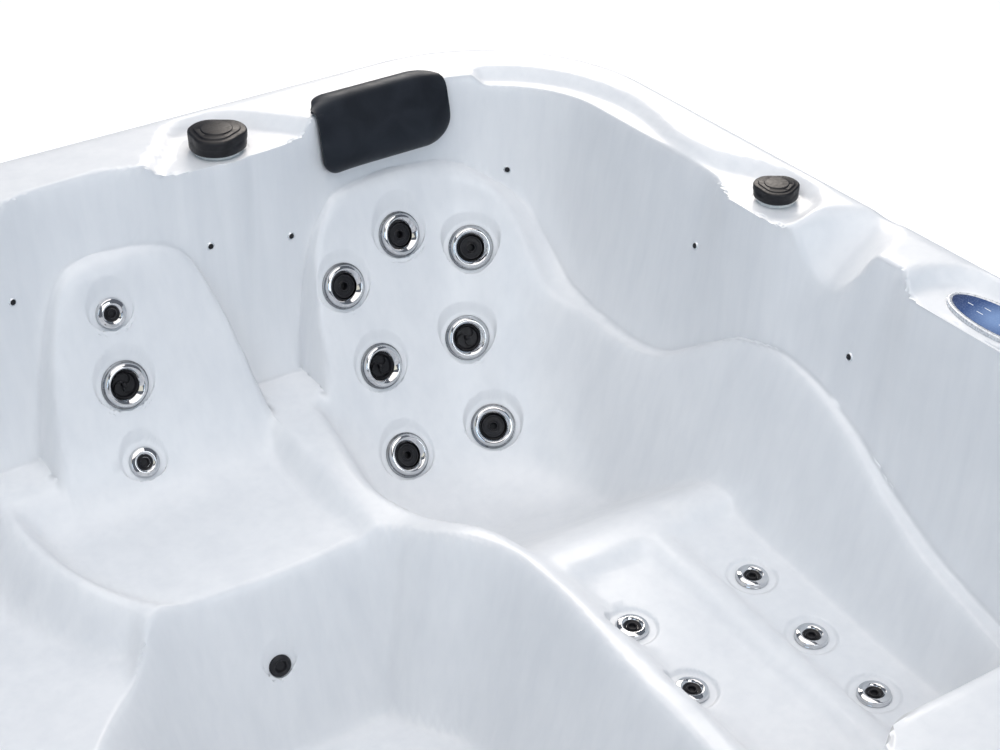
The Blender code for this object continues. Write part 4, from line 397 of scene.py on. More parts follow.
# Lobed knobs: share of the radius, share of the height, share of the lobes' depth
CAP_LOBES = 3
CAP_LOBE_share = 0.13
CAP_TURN = math.radians(65.0)
CAP_POWER = 2.0
KNOB_LEVELS = (
    (0.900, 0.000, 0.35), (0.955, 0.000, 0.35), (0.965, 0.100, 0.35), (0.968, 0.340, 0.45),
    (0.990, 0.400, 0.80), (1.000, 0.460, 1.00), (1.000, 0.740, 1.00), (0.985, 0.800, 1.00),
    (0.950, 0.845, 1.00), (0.900, 0.860, 1.00), (0.800, 0.865, 1.00), (0.785, 0.880, 1.00),
    (0.770, 0.925, 1.00), (0.745, 0.935, 1.00), (0.540, 0.940, 0.30), (0.525, 0.955, 0.00),
    (0.505, 0.992, 0.00), (0.480, 1.000, 0.00), (0.000, 1.000, 0.00),
)

# Other fittings: profiles in shares of a radius and a height
SUCTION_shares = (
    (0.0, 1.0), (0.30, 0.99), (0.55, 0.94), (0.74, 0.83), (0.90, 0.60), (0.98, 0.34), (1.0, 0.22),
)
SUCTION_SLOTS = ((0.36, 8), (0.62, 14))
SLOT_LONG = 0.0055
SLOT_HALF = 0.0016
LIGHT_EDGE_shares = ((0.86, 0.82), (0.97, 0.50), (1.0, 0.25), (1.0, 0.0))
LID_DISH_shares = ((0.0, 0.72), (0.70, 0.72), (0.74, 0.80))
LID_EDGE_shares = ((0.93, 0.88), (0.985, 0.60), (1.0, 0.30), (1.0, 0.0), (0.0, 0.0))
GRIP_STEPS = 24
GRIP_LOW_share = 0.60
GRIP_NARROW_share = 0.78
LENS = 0.0064
LENS_WALL = 0.0016
LENS_HIGH = 0.0036
LENS_BEAD_shares = ((0.0, 1.05), (0.30, 1.0), (0.62, 0.85))
ROUND_END_share = 0.98
BUTTON_ROOM = 0.0008
MARK_HIGH = 0.0001
MARK_HALF = 0.0007
MARK_PLACES = (
    (0.012, 0.010, 0.0050), (0.012, 0.0, 0.0070), (0.012, -0.010, 0.0040),
    (-0.030, 0.008, 0.0060), (-0.030, -0.008, 0.0060), (-0.055, 0.0, 0.0050),
)
PANEL_ROLL_STEPS = 5
PANEL_ROLL_shares = (0.35, 0.35)
PANEL_BEVEL_shares = (0.72, 0.86)

# Colours and light
ACRYLIC_WHITE = (0.835, 0.840, 0.850)
ACRYLIC_CLOUD = (0.805, 0.812, 0.825)
ACRYLIC_VEIN = (0.730, 0.743, 0.765)
ACRYLIC_PEARL = (0.880, 0.885, 0.892)
FLOOR_LIFT = 0.55
FLOOR_SIZE = 40.0

# Head cushion
PILLOW_GAP = 0.0053
PILLOW_share = 0.604
PILLOW_HALF = 0.123
PILLOW_TOP_share = 0.905
PILLOW_SPAN = 0.130
PILLOW_LOW_DEPTH = 0.103
PILLOW_HIGH = 0.044
PILLOW_BULGE = 0.004
PILLOW_EDGE = 0.005
PILLOW_LEAN = 0.017
PILLOW_LEAN_RUN = ((0.0, 0.22, 0.36, 0.60, 1.0), (0.0, 0.25, 1.0, 0.70, 0.60))
PILLOW_TOP_LEFT = 0.032
PILLOW_LOW_LEFT = 0.030
PILLOW_TOP_RIGHT = 0.056
PILLOW_LOW_RIGHT = 0.050
PILLOW_SAMPLES = 160
PILLOW_CROWN_POWER = 2.4
PILLOW_END_POWER = 3.2
PILLOW_CROWDING = 1.6
PILLOW_ROWS = 61
PILLOW_COLUMNS = 57

# Lamps: name, place, where it points, side, watts, colour
LIT_PLACE = (0.0, 0.1, 0.6)
LAMPS = (
    ("overhead", (0.0, 0.2, 3.4), (0.0, 0.2, 0.0), 3.0, 57.0, (1.0, 0.94, 0.89)),
    ("back_right", (2.4, 2.8, 2.8), LIT_PLACE, 2.0, 86.0, (1.0, 0.92, 0.84)),
    ("front", (0.6, -3.4, 2.8), LIT_PLACE, 2.0, 36.0, (0.94, 0.98, 1.0)),
    ("front_left", (-3.0, -2.4, 2.8), LIT_PLACE, 2.0, 22.0, (0.66, 0.83, 1.0)),
    ("left", (-3.4, 0.6, 2.6), LIT_PLACE, 2.0, 11.0, (1.0, 0.94, 0.75)),
)
WORLD_LIGHT = ((0.36, 0.64, 1.0), 0.27)
MIRRORED_LIGHT = ((0.78, 0.86, 1.0), 0.20)
BACKDROP = ((0.8, 0.8, 0.8), 1.0)


HALF_LENGTH = TUB_LENGTH / 2
HALF_WIDTH = TUB_WIDTH / 2


def blend(t):
    t = np.clip(t, 0.0, 1.0)
    return t * t * (3.0 - 2.0 * t)


def ramp(value, start, end):
    return blend((value - start) / (end - start))


def bump(value, middle, half):
    return np.exp(-(((value - middle) / half) ** 4))


def deeper(a, b, soft):
    """The deeper of two surfaces, rounded where they cross."""
    h = np.clip(0.5 + 0.5 * (a - b) / soft, 0.0, 1.0)
    return b + (a - b) * h + soft * h * (1.0 - h)


def shallower(a, b, soft):
    return -deeper(-a, -b, soft)


def curve(value, knots, heights):
    """A smooth line through the knots that never overshoots them."""
    knots = np.asarray(knots, float)
    heights = np.asarray(heights, float)
    step = np.diff(knots)
    slope = np.diff(heights) / step
    both = slope[:-1] + slope[1:]
    turning = slope[:-1] * slope[1:] > 0.0
    inner = np.where(turning, 2.0 * slope[:-1] * slope[1:] / np.where(turning, both, 1.0), 0.0)
    ends = np.concatenate([[slope[0]], inner, [slope[-1]]])
    value = np.clip(value, knots[0], knots[-1])
    at = np.clip(np.searchsorted(knots, value, side="right") - 1, 0, len(step) - 1)
    t = (value - knots[at]) / step[at]
    line = heights[at] * (1.0 + 2.0 * t) * (1.0 - t) ** 2 + heights[at + 1] * t * t * (3.0 - 2.0 * t)
    return line + step[at] * (ends[at] * t * (1.0 - t) ** 2 - ends[at + 1] * t * t * (1.0 - t))


def rounded_box(x, y, half_x, half_y, corner):
    """Signed distance to a rounded rectangle, less than zero inside it."""
    qx = np.abs(x) - (half_x - corner)
    qy = np.abs(y) - (half_y - corner)
    outside = np.hypot(np.maximum(qx, 0.0), np.maximum(qy, 0.0))
    return outside + np.minimum(np.maximum(qx, qy), 0.0) - corner


def outline(shares):
    """A closed outline in metres, with its corners cut back twice."""
    points = np.asarray(shares, float) * (HALF_LENGTH, HALF_WIDTH)
    for _ in range(2):
        after = np.roll(points, -1, axis=0)
        points = np.stack([points * 0.75 + after * 0.25, points * 0.25 + after * 0.75], 1).reshape(-1, 2)
    return points


def outline_distance(x, y, points):
    """Signed distance to a closed outline, less than zero inside it."""
    near = np.full(np.shape(x), np.inf)
    inside = np.zeros(np.shape(x), bool)
    for (ax, ay), (bx, by) in zip(points, np.roll(points, -1, axis=0)):
        ex, ey = bx - ax, by - ay
        t = np.clip(((x - ax) * ex + (y - ay) * ey) / (ex * ex + ey * ey), 0.0, 1.0)
        near = np.minimum(near, (x - ax - t * ex) ** 2 + (y - ay - t * ey) ** 2)
        if ay != by:
            inside ^= ((ay > y) != (by > y)) & (x < ax + (y - ay) * ex / ey)
    near = np.sqrt(near)
    return np.where(inside, -near, near)


POCKETS = [
    outline(shares)
    for shares in (DIVERTER_POCKET_shares, LEFT_POCKET_shares, CORNER_POCKET_shares, PANEL_POCKET_shares)
]
FOOTWELL = outline(FOOTWELL_shares)
MIDDLE_SEAT = outline(MIDDLE_SEAT_shares)
CORNER_SEAT = outline(CORNER_SEAT_shares)
FRONT_CORNER_SEAT = outline(FRONT_CORNER_SEAT_shares)
FRONT_SEAT = outline(FRONT_SEAT_shares)
LOUNGE_BED = outline(LOUNGE_BED_shares)
FILTER_SHELF = outline(FILTER_SHELF_shares)


def upper_wall(u, v, x, y):
    """Depth of the outer wall, whose lip stands further in where a control sits in the rim."""
    inside = -rounded_box(x, y, HALF_LENGTH - SIDE_RIM_WIDTH, HALF_WIDTH - BACK_RIM_WIDTH, LIP_CORNER)
    back = ramp(v, *SIDE_ONLY_shares)
    right = ramp(u, *SIDE_ONLY_shares)
    nose = 0.0 * x
    for middle in NOSE_BACK_shares:
        nose = nose + back * NOSE_BACK * bump(u, middle, NOSE_BACK_HALF_share)
    nose = nose + right * NOSE_SIDE * bump(v, NOSE_SIDE_share, NOSE_SIDE_HALF_share)
    start, full, still, end = NOSE_PANEL_shares
    nose = nose + right * NOSE_PANEL * ramp(v, start, full) * ramp(v, end, still)
    lip = (inside - nose) / (WALL_LEAN_share - nose / NOSE_DEPTH)
    return np.where(lip < NOSE_DEPTH, lip, inside / WALL_LEAN_share), inside


def arch(value, middle, half):
    return ARCH_TOP_DEPTH + ARCH_FALL * (np.abs(value - middle) / half) ** 4


def cap_depth(u, v, inside):
    """How deep the outer wall runs before the arched backrests and the armrest stand out from it."""
    off = ramp(inside, ARCH_OFF_START, ARCH_OFF_END) * FOOTWELL_DEPTH
    bench = BENCH_DEPTH * curve(v, BENCH_AT_shares, BENCH_DEEP_shares)
    head = HIP_DEPTH * curve(u, HEAD_AT_shares, HEAD_DEEP_shares)
    arm = HIP_DEPTH * curve(v, ARM_AT_shares, ARM_DEEP_shares)
    lounge = head + (arm - head) * ramp(u - v, *CORNER_BLEND_shares)
    lounge = lounge + FOOTWELL_DEPTH * ramp(-u, -HEAD_LIMIT_shares[1], -HEAD_LIMIT_shares[0])
    seen = shallower(arch(u, MIDDLE_ARCH_share, MIDDLE_ARCH_HALF_share), lounge, ARCH_SOFT)
    left = arch(v, LEFT_ARCH_shares[0], LEFT_ARCH_HALF_shares[0])
    left = shallower(left, arch(v, LEFT_ARCH_shares[1], LEFT_ARCH_HALF_shares[1]), ARCH_SOFT)
    front = arch(u, FRONT_ARCH_share, FRONT_ARCH_HALF_share)
    across = np.where(u < 0.0, left, seen)
    along = np.where(v < 0.0, front, seen)
    wall = np.where(np.abs(u) > np.abs(v), across, along)
    return shallower(wall + off, bench, ARCH_SOFT)


def lounge_wall(x, y):
    """Depth of the backrest and the armrest's face, which meet in one rounded corner."""
    low = np.zeros(np.shape(x))
    high = np.full(np.shape(x), FOOTWELL_DEPTH)
    for _ in range(SECTION_STEPS):
        deep = 0.5 * (low + high)
        behind = HALF_WIDTH * curve(deep / HIP_DEPTH, BACKREST_DEEP_shares, BACKREST_AT_shares)
        aside = HALF_LENGTH - ARMREST_FACE_INSET + (ARMREST_FACE_DEPTH - deep) * ARMREST_LEAN_share
        from_back = np.maximum(LOUNGE_CORNER - (behind - y), 0.0)
        from_side = np.maximum(LOUNGE_CORNER - (aside - x), 0.0)
        room = LOUNGE_CORNER > np.hypot(from_back, from_side)
        low = np.where(room, deep, low)
        high = np.where(room, high, deep)
    return 0.5 * (low + high)


def within(surface, x, y, points):
    """A seat's surface, closed in by the sides of its outline."""
    sides = BENCH_DEPTH - outline_distance(x, y, points) / SEAT_LEAN_share
    return shallower(surface, sides, SEAT_EDGE_SOFT)


def mould(x, y):
    """Depth below the rim of the moulded inside, before the jets' flat pads."""
    u = x / HALF_LENGTH
    v = y / HALF_WIDTH
    wall, inside = upper_wall(u, v, x, y)
    ledge = LEDGE_SLOPE_share * np.clip(inside - LEDGE_START, 0.0, LEDGE_WIDTH)
    deep = shallower(wall, cap_depth(u, v, inside) + ledge, LEDGE_SOFT)
    shelf = np.maximum(outline_distance(x, y, FILTER_SHELF), 0.0)
    deep = shallower(deep, FILTER_SHELF_DEPTH + shelf / FILTER_SHELF_LEAN_share, ARCH_SOFT)

    seat = SEAT_DEPTH * curve(v, SEAT_AT_shares, SEAT_DEEP_shares)
    deep = deeper(deep, within(seat, x, y, MIDDLE_SEAT), CREST_SOFT)

    bed = HIP_DEPTH * curve(v, BED_AT_shares, BED_DEEP_shares)
    edge = LEG_GROOVE_EDGE / HALF_LENGTH
    for left_side, right_side in LEG_GROOVE_shares:
        across = ramp(u, left_side - edge, left_side + edge) * ramp(-u, -right_side - edge, edge - right_side)
        along = ramp(-v, -LEG_GROOVE_HEAD_share - edge, edge - LEG_GROOVE_HEAD_share)
        bed = bed + LEG_GROOVE_DEPTH * across * along
    bed = shallower(bed, lounge_wall(x, y), LOUNGE_SOFT)
    deep = deeper(deep, within(bed, x, y, LOUNGE_BED), CREST_SOFT)

    reach = np.clip(inside, 0.0, HALF_WIDTH) / HALF_WIDTH
    for depth, points in (
        (CORNER_SEAT_DEPTH, CORNER_SEAT),
        (FRONT_CORNER_SEAT_DEPTH, FRONT_CORNER_SEAT),
        (FRONT_SEAT_DEPTH, FRONT_SEAT),
    ):
        seat = depth * curve(reach, REACH_shares, REACH_DEEP_shares)
        deep = deeper(deep, within(seat, x, y, points), CREST_SOFT)

    well = FOOTWELL_LIP_DEPTH - outline_distance(x, y, FOOTWELL) / FOOTWELL_LEAN_share
    well = shallower(well, FOOTWELL_DEPTH + 0.0 * x, FOOTWELL_SOFT)
    deep = deeper(deep, well, FOOTWELL_LIP_SOFT)
    deep = shallower(deep, wall, POCKET_SOFT)

    rim = 0.0 * x
    for points in POCKETS:
        sunk = -outline_distance(x, y, points) * POCKET_LEAN_share
        rim = deeper(rim, shallower(sunk, POCKET_DEPTH + 0.0 * x, POCKET_SOFT), POCKET_EDGE_SOFT)
    scoop = (HALF_LENGTH - SCOOP_START - x) * SCOOP_FALL_share
    scoop = scoop - SCOOP_DEPTH * ((v - SCOOP_share) * HALF_WIDTH / SCOOP_HALF) ** 2
    scoop = scoop - SCOOP_END_share * np.clip(HALF_LENGTH - x - SCOOP_REACH, 0.0, TUB_LENGTH)
    rim = deeper(rim, scoop, SCOOP_SOFT)
    return deeper(rim, deep, LIP_SOFT)


class Seat:
    """A flat round place in the mould, with its centre on the pad and its axis out of the wall."""

    def __init__(self, share, radius, recess=JET_RECESS):
        x, y = share[0] * HALF_LENGTH, share[1] * HALF_WIDTH
        grid = np.array([(0, 0), (1, 0), (-1, 0), (0, 1), (0, -1)], float) * SLOPE_STEP
        here, right, left, back, front = mould(x + grid[:, 0], y + grid[:, 1])
        self.slope = np.array([right - left, back - front]) / (2.0 * SLOPE_STEP)
        self.axis = np.array([self.slope[0], self.slope[1], 1.0])
        self.axis /= np.linalg.norm(self.axis)
        self.x, self.y, self.radius = x, y, radius
        self.depth = here + recess / self.axis[2]
        self.centre = np.array([x, y, TUB_HEIGHT - self.depth])

    def flatten(self, deep, x, y):
        flat = self.depth + self.slope[0] * (x - self.x) + self.slope[1] * (y - self.y)
        away = np.stack([x - self.x, y - self.y, self.depth - flat], -1)
        away = np.sqrt((away**2).sum(-1))
        near = ramp(-away, -self.radius - PAD_EDGE, -self.radius)
        return deep + (flat - deep) * near

    def matrix(self, spin=0.0):
        turn = Vector(self.axis).to_track_quat("Z", "Y").to_matrix().to_4x4()
        return Matrix.Translation(Vector(self.centre)) @ turn @ Matrix.Rotation(spin, 4, "Z")


LARGE_JETS = [Seat(share, LARGE_PAD) for share in LARGE_JET_shares]
SMALL_JETS = [Seat(share, SMALL_PAD) for share in SMALL_JET_shares]
SUCTION_SEAT = Seat(SUCTION_share, SUCTION_PAD)
LIGHT_SEAT = Seat(LIGHT_share, LIGHT_PAD)
OZONE_SEAT = Seat(OZONE_share, OZONE_PAD, OZONE_RECESS)
FILTER_SEAT = Seat(FILTER_share, FILTER_PAD, 0.0)
DIVERTER_SEAT = Seat(DIVERTER_share, DIVERTER_PAD, 0.0)
AIR_SEAT = Seat(AIR_share, AIR_PAD, 0.0)
PANEL_SEAT = Seat(PANEL_share, PANEL_PAD, 0.0)
GLOW_SEATS = [Seat(share, GLOW_PAD, GLOW_RECESS) for share in GLOW_shares]
ALL_SEATS = LARGE_JETS + SMALL_JETS + GLOW_SEATS + [
    SUCTION_SEAT, LIGHT_SEAT, OZONE_SEAT, FILTER_SEAT, DIVERTER_SEAT, AIR_SEAT, PANEL_SEAT,
]


def surface_depth(x, y):
    """Depth of the finished inside, with the pads and the rounded outer rim."""
    deep = mould(x, y)
    for seat in ALL_SEATS:
        deep = seat.flatten(deep, x, y)
    edge = np.clip(RIM_ROUND + rounded_box(x, y, HALF_LENGTH, HALF_WIDTH, OUTER_CORNER), 0.0, RIM_ROUND)
    return deep + RIM_ROUND - np.sqrt(RIM_ROUND**2 - edge**2)


def to_plan(u, v):
    """Bends a square grid into the tub's outline with its rounded corners."""
    reach_x, reach_y = HALF_LENGTH - OUTER_CORNER, HALF_WIDTH - OUTER_CORNER
    cu = np.clip((np.abs(u) - reach_x) / OUTER_CORNER, 0.0, 1.0)
    cv = np.clip((np.abs(v) - reach_y) / OUTER_CORNER, 0.0, 1.0)
    corner = (cu > 0.0) & (cv > 0.0)
    x = np.sign(u) * (reach_x + OUTER_CORNER * cu * np.sqrt(1.0 - cv * cv / 2.0))
    y = np.sign(v) * (reach_y + OUTER_CORNER * cv * np.sqrt(1.0 - cu * cu / 2.0))
    return np.where(corner, x, u), np.where(corner, y, v)


def spread(points, count, axis):
    """Moves the grid's lines to where the surface bends, along one of its directions."""
    points = np.moveaxis(points, axis, 0)
    normal = np.cross(np.gradient(points, axis=0), np.gradient(points, axis=1))
    normal /= np.maximum(np.linalg.norm(normal, axis=-1, keepdims=True), 1e-12)
    run = np.linalg.norm(np.diff(points, axis=0), axis=-1)
    turn = np.linalg.norm(np.diff(normal, axis=0), axis=-1)
    weight = np.sqrt(run**2 + (TURN_WEIGHT * turn) ** 2)
    window = int(weight.shape[1] * SPREAD_share) | 1
    for _ in range(2):
        padded = np.pad(weight, ((0, 0), (window // 2 + 1, window // 2)), mode="edge")
        total = np.cumsum(padded, axis=1)
        weight = (total[:, window:] - total[:, :-window]) / window
    along = np.concatenate([np.zeros((1, weight.shape[1])), np.cumsum(weight, axis=0)], 0)
    moved = np.empty((count, points.shape[1], 2))
    for row in range(points.shape[1]):
        at = np.linspace(0.0, along[-1, row], count)
        moved[:, row, 0] = np.interp(at, along[:, row], points[:, row, 0])
        moved[:, row, 1] = np.interp(at, along[:, row], points[:, row, 1])
    return np.moveaxis(moved, 0, axis)


def moulded_grid(fine, count):
    """Points of the whole inside surface, with the skirt of the rim round it."""
    sides = (np.linspace(-half, half, fine) for half in (HALF_LENGTH, HALF_WIDTH))
    x, y = to_plan(*np.meshgrid(*sides, indexing="ij"))
    points = np.stack([x, y, -surface_depth(x, y)], -1)
    for axis in (0, 1):
        moved = spread(points, count, axis)
        points = np.concatenate([moved, -surface_depth(moved[..., 0], moved[..., 1])[..., None]], -1)
    points = np.pad(points, ((1, 1), (1, 1), (0, 0)), mode="edge")
    border = np.ones(points.shape[:2], bool)
    border[1:-1, 1:-1] = False
    points[border, 2] = -RIM_ROUND - RIM_SKIRT
    points[..., 2] += TUB_HEIGHT
    return points


def within_flats(radius):
    """The largest radius that turns freely inside a fitting's bore, which has flat sides."""
    return radius * math.cos(math.pi / JET_SIDES) - CLEARANCE


LARGE_SLEEVE = within_flats(LARGE_NECK - JET_WALL)
LARGE_BORE = LARGE_SLEEVE - BEZEL_WALL
BALL = within_flats(LARGE_BORE)
SMALL_SLEEVE = within_flats(SMALL_NECK - JET_WALL)
SUCTION_SLEEVE = within_flats(SUCTION_NECK - JET_WALL)
PAD_Z = CLEARANCE - SPOT_FACE
NUT_Z = -SHELL_THICK - GASKET
CAP_BASE = PAD_Z + COLLAR
PANEL_PLACE = PANEL_SEAT.matrix(PANEL_SPIN)


class Look:
    """A material built from nodes; every colour, roughness and bump comes from patterns in object space."""

    def __init__(self, name, rough, metal=0.0, **sockets):
        self.made = bpy.data.materials.new(name)
        self.made.use_nodes = True
        self.tree = self.made.node_tree
        self.shader = self.tree.nodes["Principled BSDF"]
        self.shader.inputs["Roughness"].default_value = rough
        self.shader.inputs["Metallic"].default_value = metal
        for socket, value in sockets.items():
            self.shader.inputs[socket.replace("_", " ")].default_value = value
        self.where = self.tree.nodes.new("ShaderNodeTexCoord").outputs["Object"]

    def link(self, source, target):
        self.tree.links.new(source, target)

    def node(self, kind, inputs=None, **settings):
        """A new node whose inputs take values, or the outputs of other nodes."""
        made = self.tree.nodes.new("ShaderNode" + kind)
        for name, value in settings.items():
            setattr(made, name, value)
        for socket, value in (inputs or {}).items():
            if isinstance(value, bpy.types.NodeSocket):
                self.link(value, made.inputs[socket])
            else:
                made.inputs[socket].default_value = value
        return made

    def stretched(self, scale):
        return self.node("Mapping", {"Scale": scale, "Vector": self.where}).outputs["Vector"]

    def noise(self, scale, detail=3.0, distortion=0.0, where=None):
        inputs = {"Scale": scale, "Detail": detail, "Distortion": distortion, "Vector": where or self.where}
        return self.node("TexNoise", inputs).outputs["Fac"]

    def ramp(self, value, *stops):
        made = self.node("ValToRGB")
        points = made.color_ramp.elements
        while len(points) < len(stops):
            points.new(0.5)
        for point, (at, colour) in zip(points, stops):
            point.position = at
            point.color = (*colour, 1.0)
        self.link(value, made.inputs["Fac"])
        return made.outputs["Color"]

    def spread(self, value, low, high, start=0.3, end=0.7):
        inputs = {"Value": value, "From Min": start, "From Max": end, "To Min": low, "To Max": high}
        return self.node("MapRange", inputs).outputs["Result"]

    def mixed(self, share, *colours):
        one, two = ((*colour, 1.0) if isinstance(colour, tuple) else colour for colour in colours)
        return self.node("Mix", {"Factor": share, 6: one, 7: two}, data_type="RGBA").outputs[2]

    def colour(self, source):
        self.link(source, self.shader.inputs["Base Color"])

    def rough(self, source):
        self.link(source, self.shader.inputs["Roughness"])

    def bump(self, height, strength, distance):
        made = self.node("Bump", {"Height": height, "Strength": strength, "Distance": distance})
        self.link(made.outputs["Normal"], self.shader.inputs["Normal"])

    def worn(self, colour, edge, amount):
        """Lets a paler colour through on the convex edges."""
        near = self.node("NewGeometry").outputs["Pointiness"]
        return self.mixed(self.spread(near, 0.0, amount, 0.52, 0.60), colour, edge)


def plain_look(name, dark, pale, rough, grain, metal=0.0, bump=0.00004, **sockets):
    """A moulded or painted finish: cloudy colour, uneven gloss, fine grain and paler edges."""
    look = Look(name, rough, metal, **sockets)
    cloud = look.noise(grain * 0.06, 4.0, 0.6)
    body = look.ramp(cloud, (0.35, dark), (0.65, pale))
    edge = tuple(min(1.0, value * 1.25 + 0.02) for value in pale)
    look.colour(look.worn(body, edge, 0.6))
    look.rough(look.spread(look.noise(grain * 0.25, 5.0), rough * 0.8, rough * 1.25))
    look.bump(look.noise(grain, 3.0), 0.5, bump)
    return look.made


def acrylic_look():
    """Pearl-white cast acrylic: faint drawn veins, a cloudy tint and a soft gloss."""
    look = Look("pearl_acrylic", 0.36, Coat_Weight=0.25, Coat_Roughness=0.26)
    cloud = look.ramp(look.noise(3.2, 5.0, 1.2), (0.36, ACRYLIC_CLOUD), (0.62, ACRYLIC_WHITE))
    streak = look.noise(20.0, 4.0, 0.25, look.stretched((1.0, 1.0, 0.11)))
    veined = look.mixed(look.spread(streak, 0.0, 0.50, 0.42, 0.76), cloud, ACRYLIC_VEIN)
    fine = look.noise(70.0, 4.0, 0.2, look.stretched((1.0, 1.0, 0.06)))
    veined = look.mixed(look.spread(fine, 0.0, 0.30, 0.42, 0.74), veined, ACRYLIC_VEIN)
    speckle = look.noise(45.0, 3.0, 0.5, look.stretched((1.0, 1.0, 0.25)))
    look.colour(look.mixed(look.spread(speckle, 0.0, 0.20, 0.46, 0.78), veined, ACRYLIC_PEARL))
    look.rough(look.spread(look.noise(26.0, 4.0), 0.32, 0.42))
    look.bump(look.noise(38.0, 2.0), 0.25, 0.00018)
    return look.made


def chrome_look():
    look = Look("polished_chrome", 0.06, 1.0)
    look.colour(look.ramp(look.noise(40.0, 3.0), (0.35, (0.60, 0.61, 0.63)), (0.65, (0.68, 0.69, 0.71))))
    smear = look.noise(220.0, 5.0, 0.8)
    look.rough(look.spread(smear, 0.035, 0.11))
    look.bump(look.noise(900.0, 2.0), 0.15, 0.00002)
    return look.made


def cushion_look():
    """Self-skinned foam: a soft charcoal skin with a fine leather-like grain."""
    look = Look(
        "foam_skin", 0.5, Specular_IOR_Level=0.30, Sheen_Weight=0.03, Sheen_Roughness=0.5,
        Specular_Tint=(0.70, 0.82, 1.0, 1.0),
    )
    cloud = look.noise(14.0, 4.0, 0.8)
    look.colour(look.ramp(cloud, (0.35, (0.009, 0.010, 0.013)), (0.65, (0.016, 0.018, 0.023))))
    look.rough(look.spread(look.noise(70.0, 4.0), 0.40, 0.56))
    cells = look.node("TexVoronoi", {"Scale": 900.0, "Vector": look.where})
    look.bump(cells.outputs["Distance"], 0.25, 0.00012)
    return look.made


def grained(name, rough, noise, along, stops, gloss, relief, **sockets):
    """A look with one grain, drawn out along the height, for its colour, its gloss and its relief."""
    look = Look(name, rough, **sockets)
    grain = look.noise(*noise, look.stretched((1.0, 1.0, along)))
    body = look.ramp(grain, *stops)
    look.colour(body)
    look.rough(look.spread(grain, *gloss))
    look.bump(grain, *relief)
    return look, body


def cabinet_look():
    """Composite cladding: a drawn wood grain with pale clouds and worn edges."""
    look, board = grained(
        "cabinet_cladding", 0.5, (150.0, 8.0, 0.7), 0.05,
        ((0.30, (0.115, 0.118, 0.124)), (0.52, (0.165, 0.168, 0.174)), (0.72, (0.225, 0.227, 0.232))),
        (0.62, 0.42), (0.35, 0.0006), Specular_IOR_Level=0.4,
    )
    cloud = look.spread(look.noise(2.5, 3.0, 0.8), 0.0, 0.4)
    look.colour(look.worn(look.mixed(cloud, board, (0.14, 0.142, 0.148)), (0.36, 0.36, 0.37), 0.5))
    return look.made


def timber_look():
    stops = ((0.30, (0.34, 0.21, 0.11)), (0.50, (0.52, 0.36, 0.20)), (0.72, (0.66, 0.50, 0.31)))
    look, _ = grained("sawn_timber", 0.7, (95.0, 7.0, 1.4), 0.12, stops, (0.78, 0.6), (0.5, 0.0008))
    return look.made


def paper_look():
    stops = ((0.3, (0.66, 0.69, 0.72)), (0.7, (0.84, 0.86, 0.88)))
    look, _ = grained("filter_fabric", 0.9, (700.0, 6.0, 0.5), 1.0, stops, (0.82, 0.95), (0.6, 0.0003))
    return look.made


def screen_look():
    """A dark blue display that grows paler towards its lit middle, under gloss."""
    look = Look("display", 0.12, Coat_Weight=1.0, Coat_Roughness=0.03, Specular_IOR_Level=0.5)
    away = look.node("VectorMath", {0: look.where, 1: tuple(PANEL_SEAT.centre)}, operation="DISTANCE")
    glow = look.ramp(
        look.spread(away.outputs["Value"], 1.0, 0.0, 0.0, PANEL_HALF_LONG),
        (0.0, (0.010, 0.020, 0.075)), (0.45, (0.035, 0.080, 0.235)), (0.85, (0.22, 0.34, 0.60)),
    )
    speck = look.noise(420.0, 5.0, 0.4)
    look.colour(look.mixed(look.spread(speck, 0.0, 0.25, 0.5, 0.7), glow, (0.45, 0.56, 0.78)))
    look.rough(look.spread(look.noise(120.0, 3.0), 0.08, 0.18))
    look.bump(look.noise(300.0, 2.0), 0.05, 0.00002)
    return look.made


def floor_look():
    """A pale floor that a camera, a mirror or glass sees as white, and that keeps its shadows."""
    look = Look("pale_floor", 0.9, Specular_IOR_Level=0.1)
    look.colour(look.ramp(look.noise(0.8, 3.0), (0.3, (0.80, 0.80, 0.81)), (0.7, (0.83, 0.83, 0.84))))
    path = look.node("LightPath")
    seen = path.outputs["Is Camera Ray"]
    for other in ("Is Glossy Ray", "Is Transmission Ray"):
        seen = look.node("Math", {0: seen, 1: path.outputs[other]}, operation="MAXIMUM").outputs["Value"]
    lift = look.node("Math", {0: seen, 1: FLOOR_LIFT}, operation="MULTIPLY")
    glow = look.node("Emission", {"Strength": lift.outputs["Value"]})
    both = look.node("AddShader", {0: look.shader.outputs["BSDF"], 1: glow.outputs["Emission"]})
    look.link(both.outputs["Shader"], look.tree.nodes["Material Output"].inputs["Surface"])
    return look.made


def put(name, mesh, matrix=None):
    thing = bpy.data.objects.new(name, mesh)
    bpy.context.scene.collection.objects.link(thing)
    if matrix is not None:
        mesh.transform(matrix)
    return thing


def skinned(name, rings, matrix=None, sharp=SHARP):
    """A closed solid through a row of equal rings of points, with both ends capped."""
    made = bmesh.new()
    rows = [[made.verts.new(point) for point in ring] for ring in rings]
    for one, two in zip(rows, rows[1:]):
        for i in range(len(one)):
            j = (i + 1) % len(one)
            made.faces.new((one[i], one[j], two[j], two[i]))
    made.faces.new(rows[0])
    made.faces.new(rows[-1])
    bmesh.ops.recalc_face_normals(made, faces=made.faces)
    return finished(name, made, matrix, sharp)


def finished(name, made, matrix=None, sharp=SHARP):
    mesh = bpy.data.meshes.new(name)
    made.to_mesh(mesh)
    made.free()
    mesh.shade_smooth()
    mesh.set_sharp_from_angle(angle=sharp)
    return put(name, mesh, matrix)


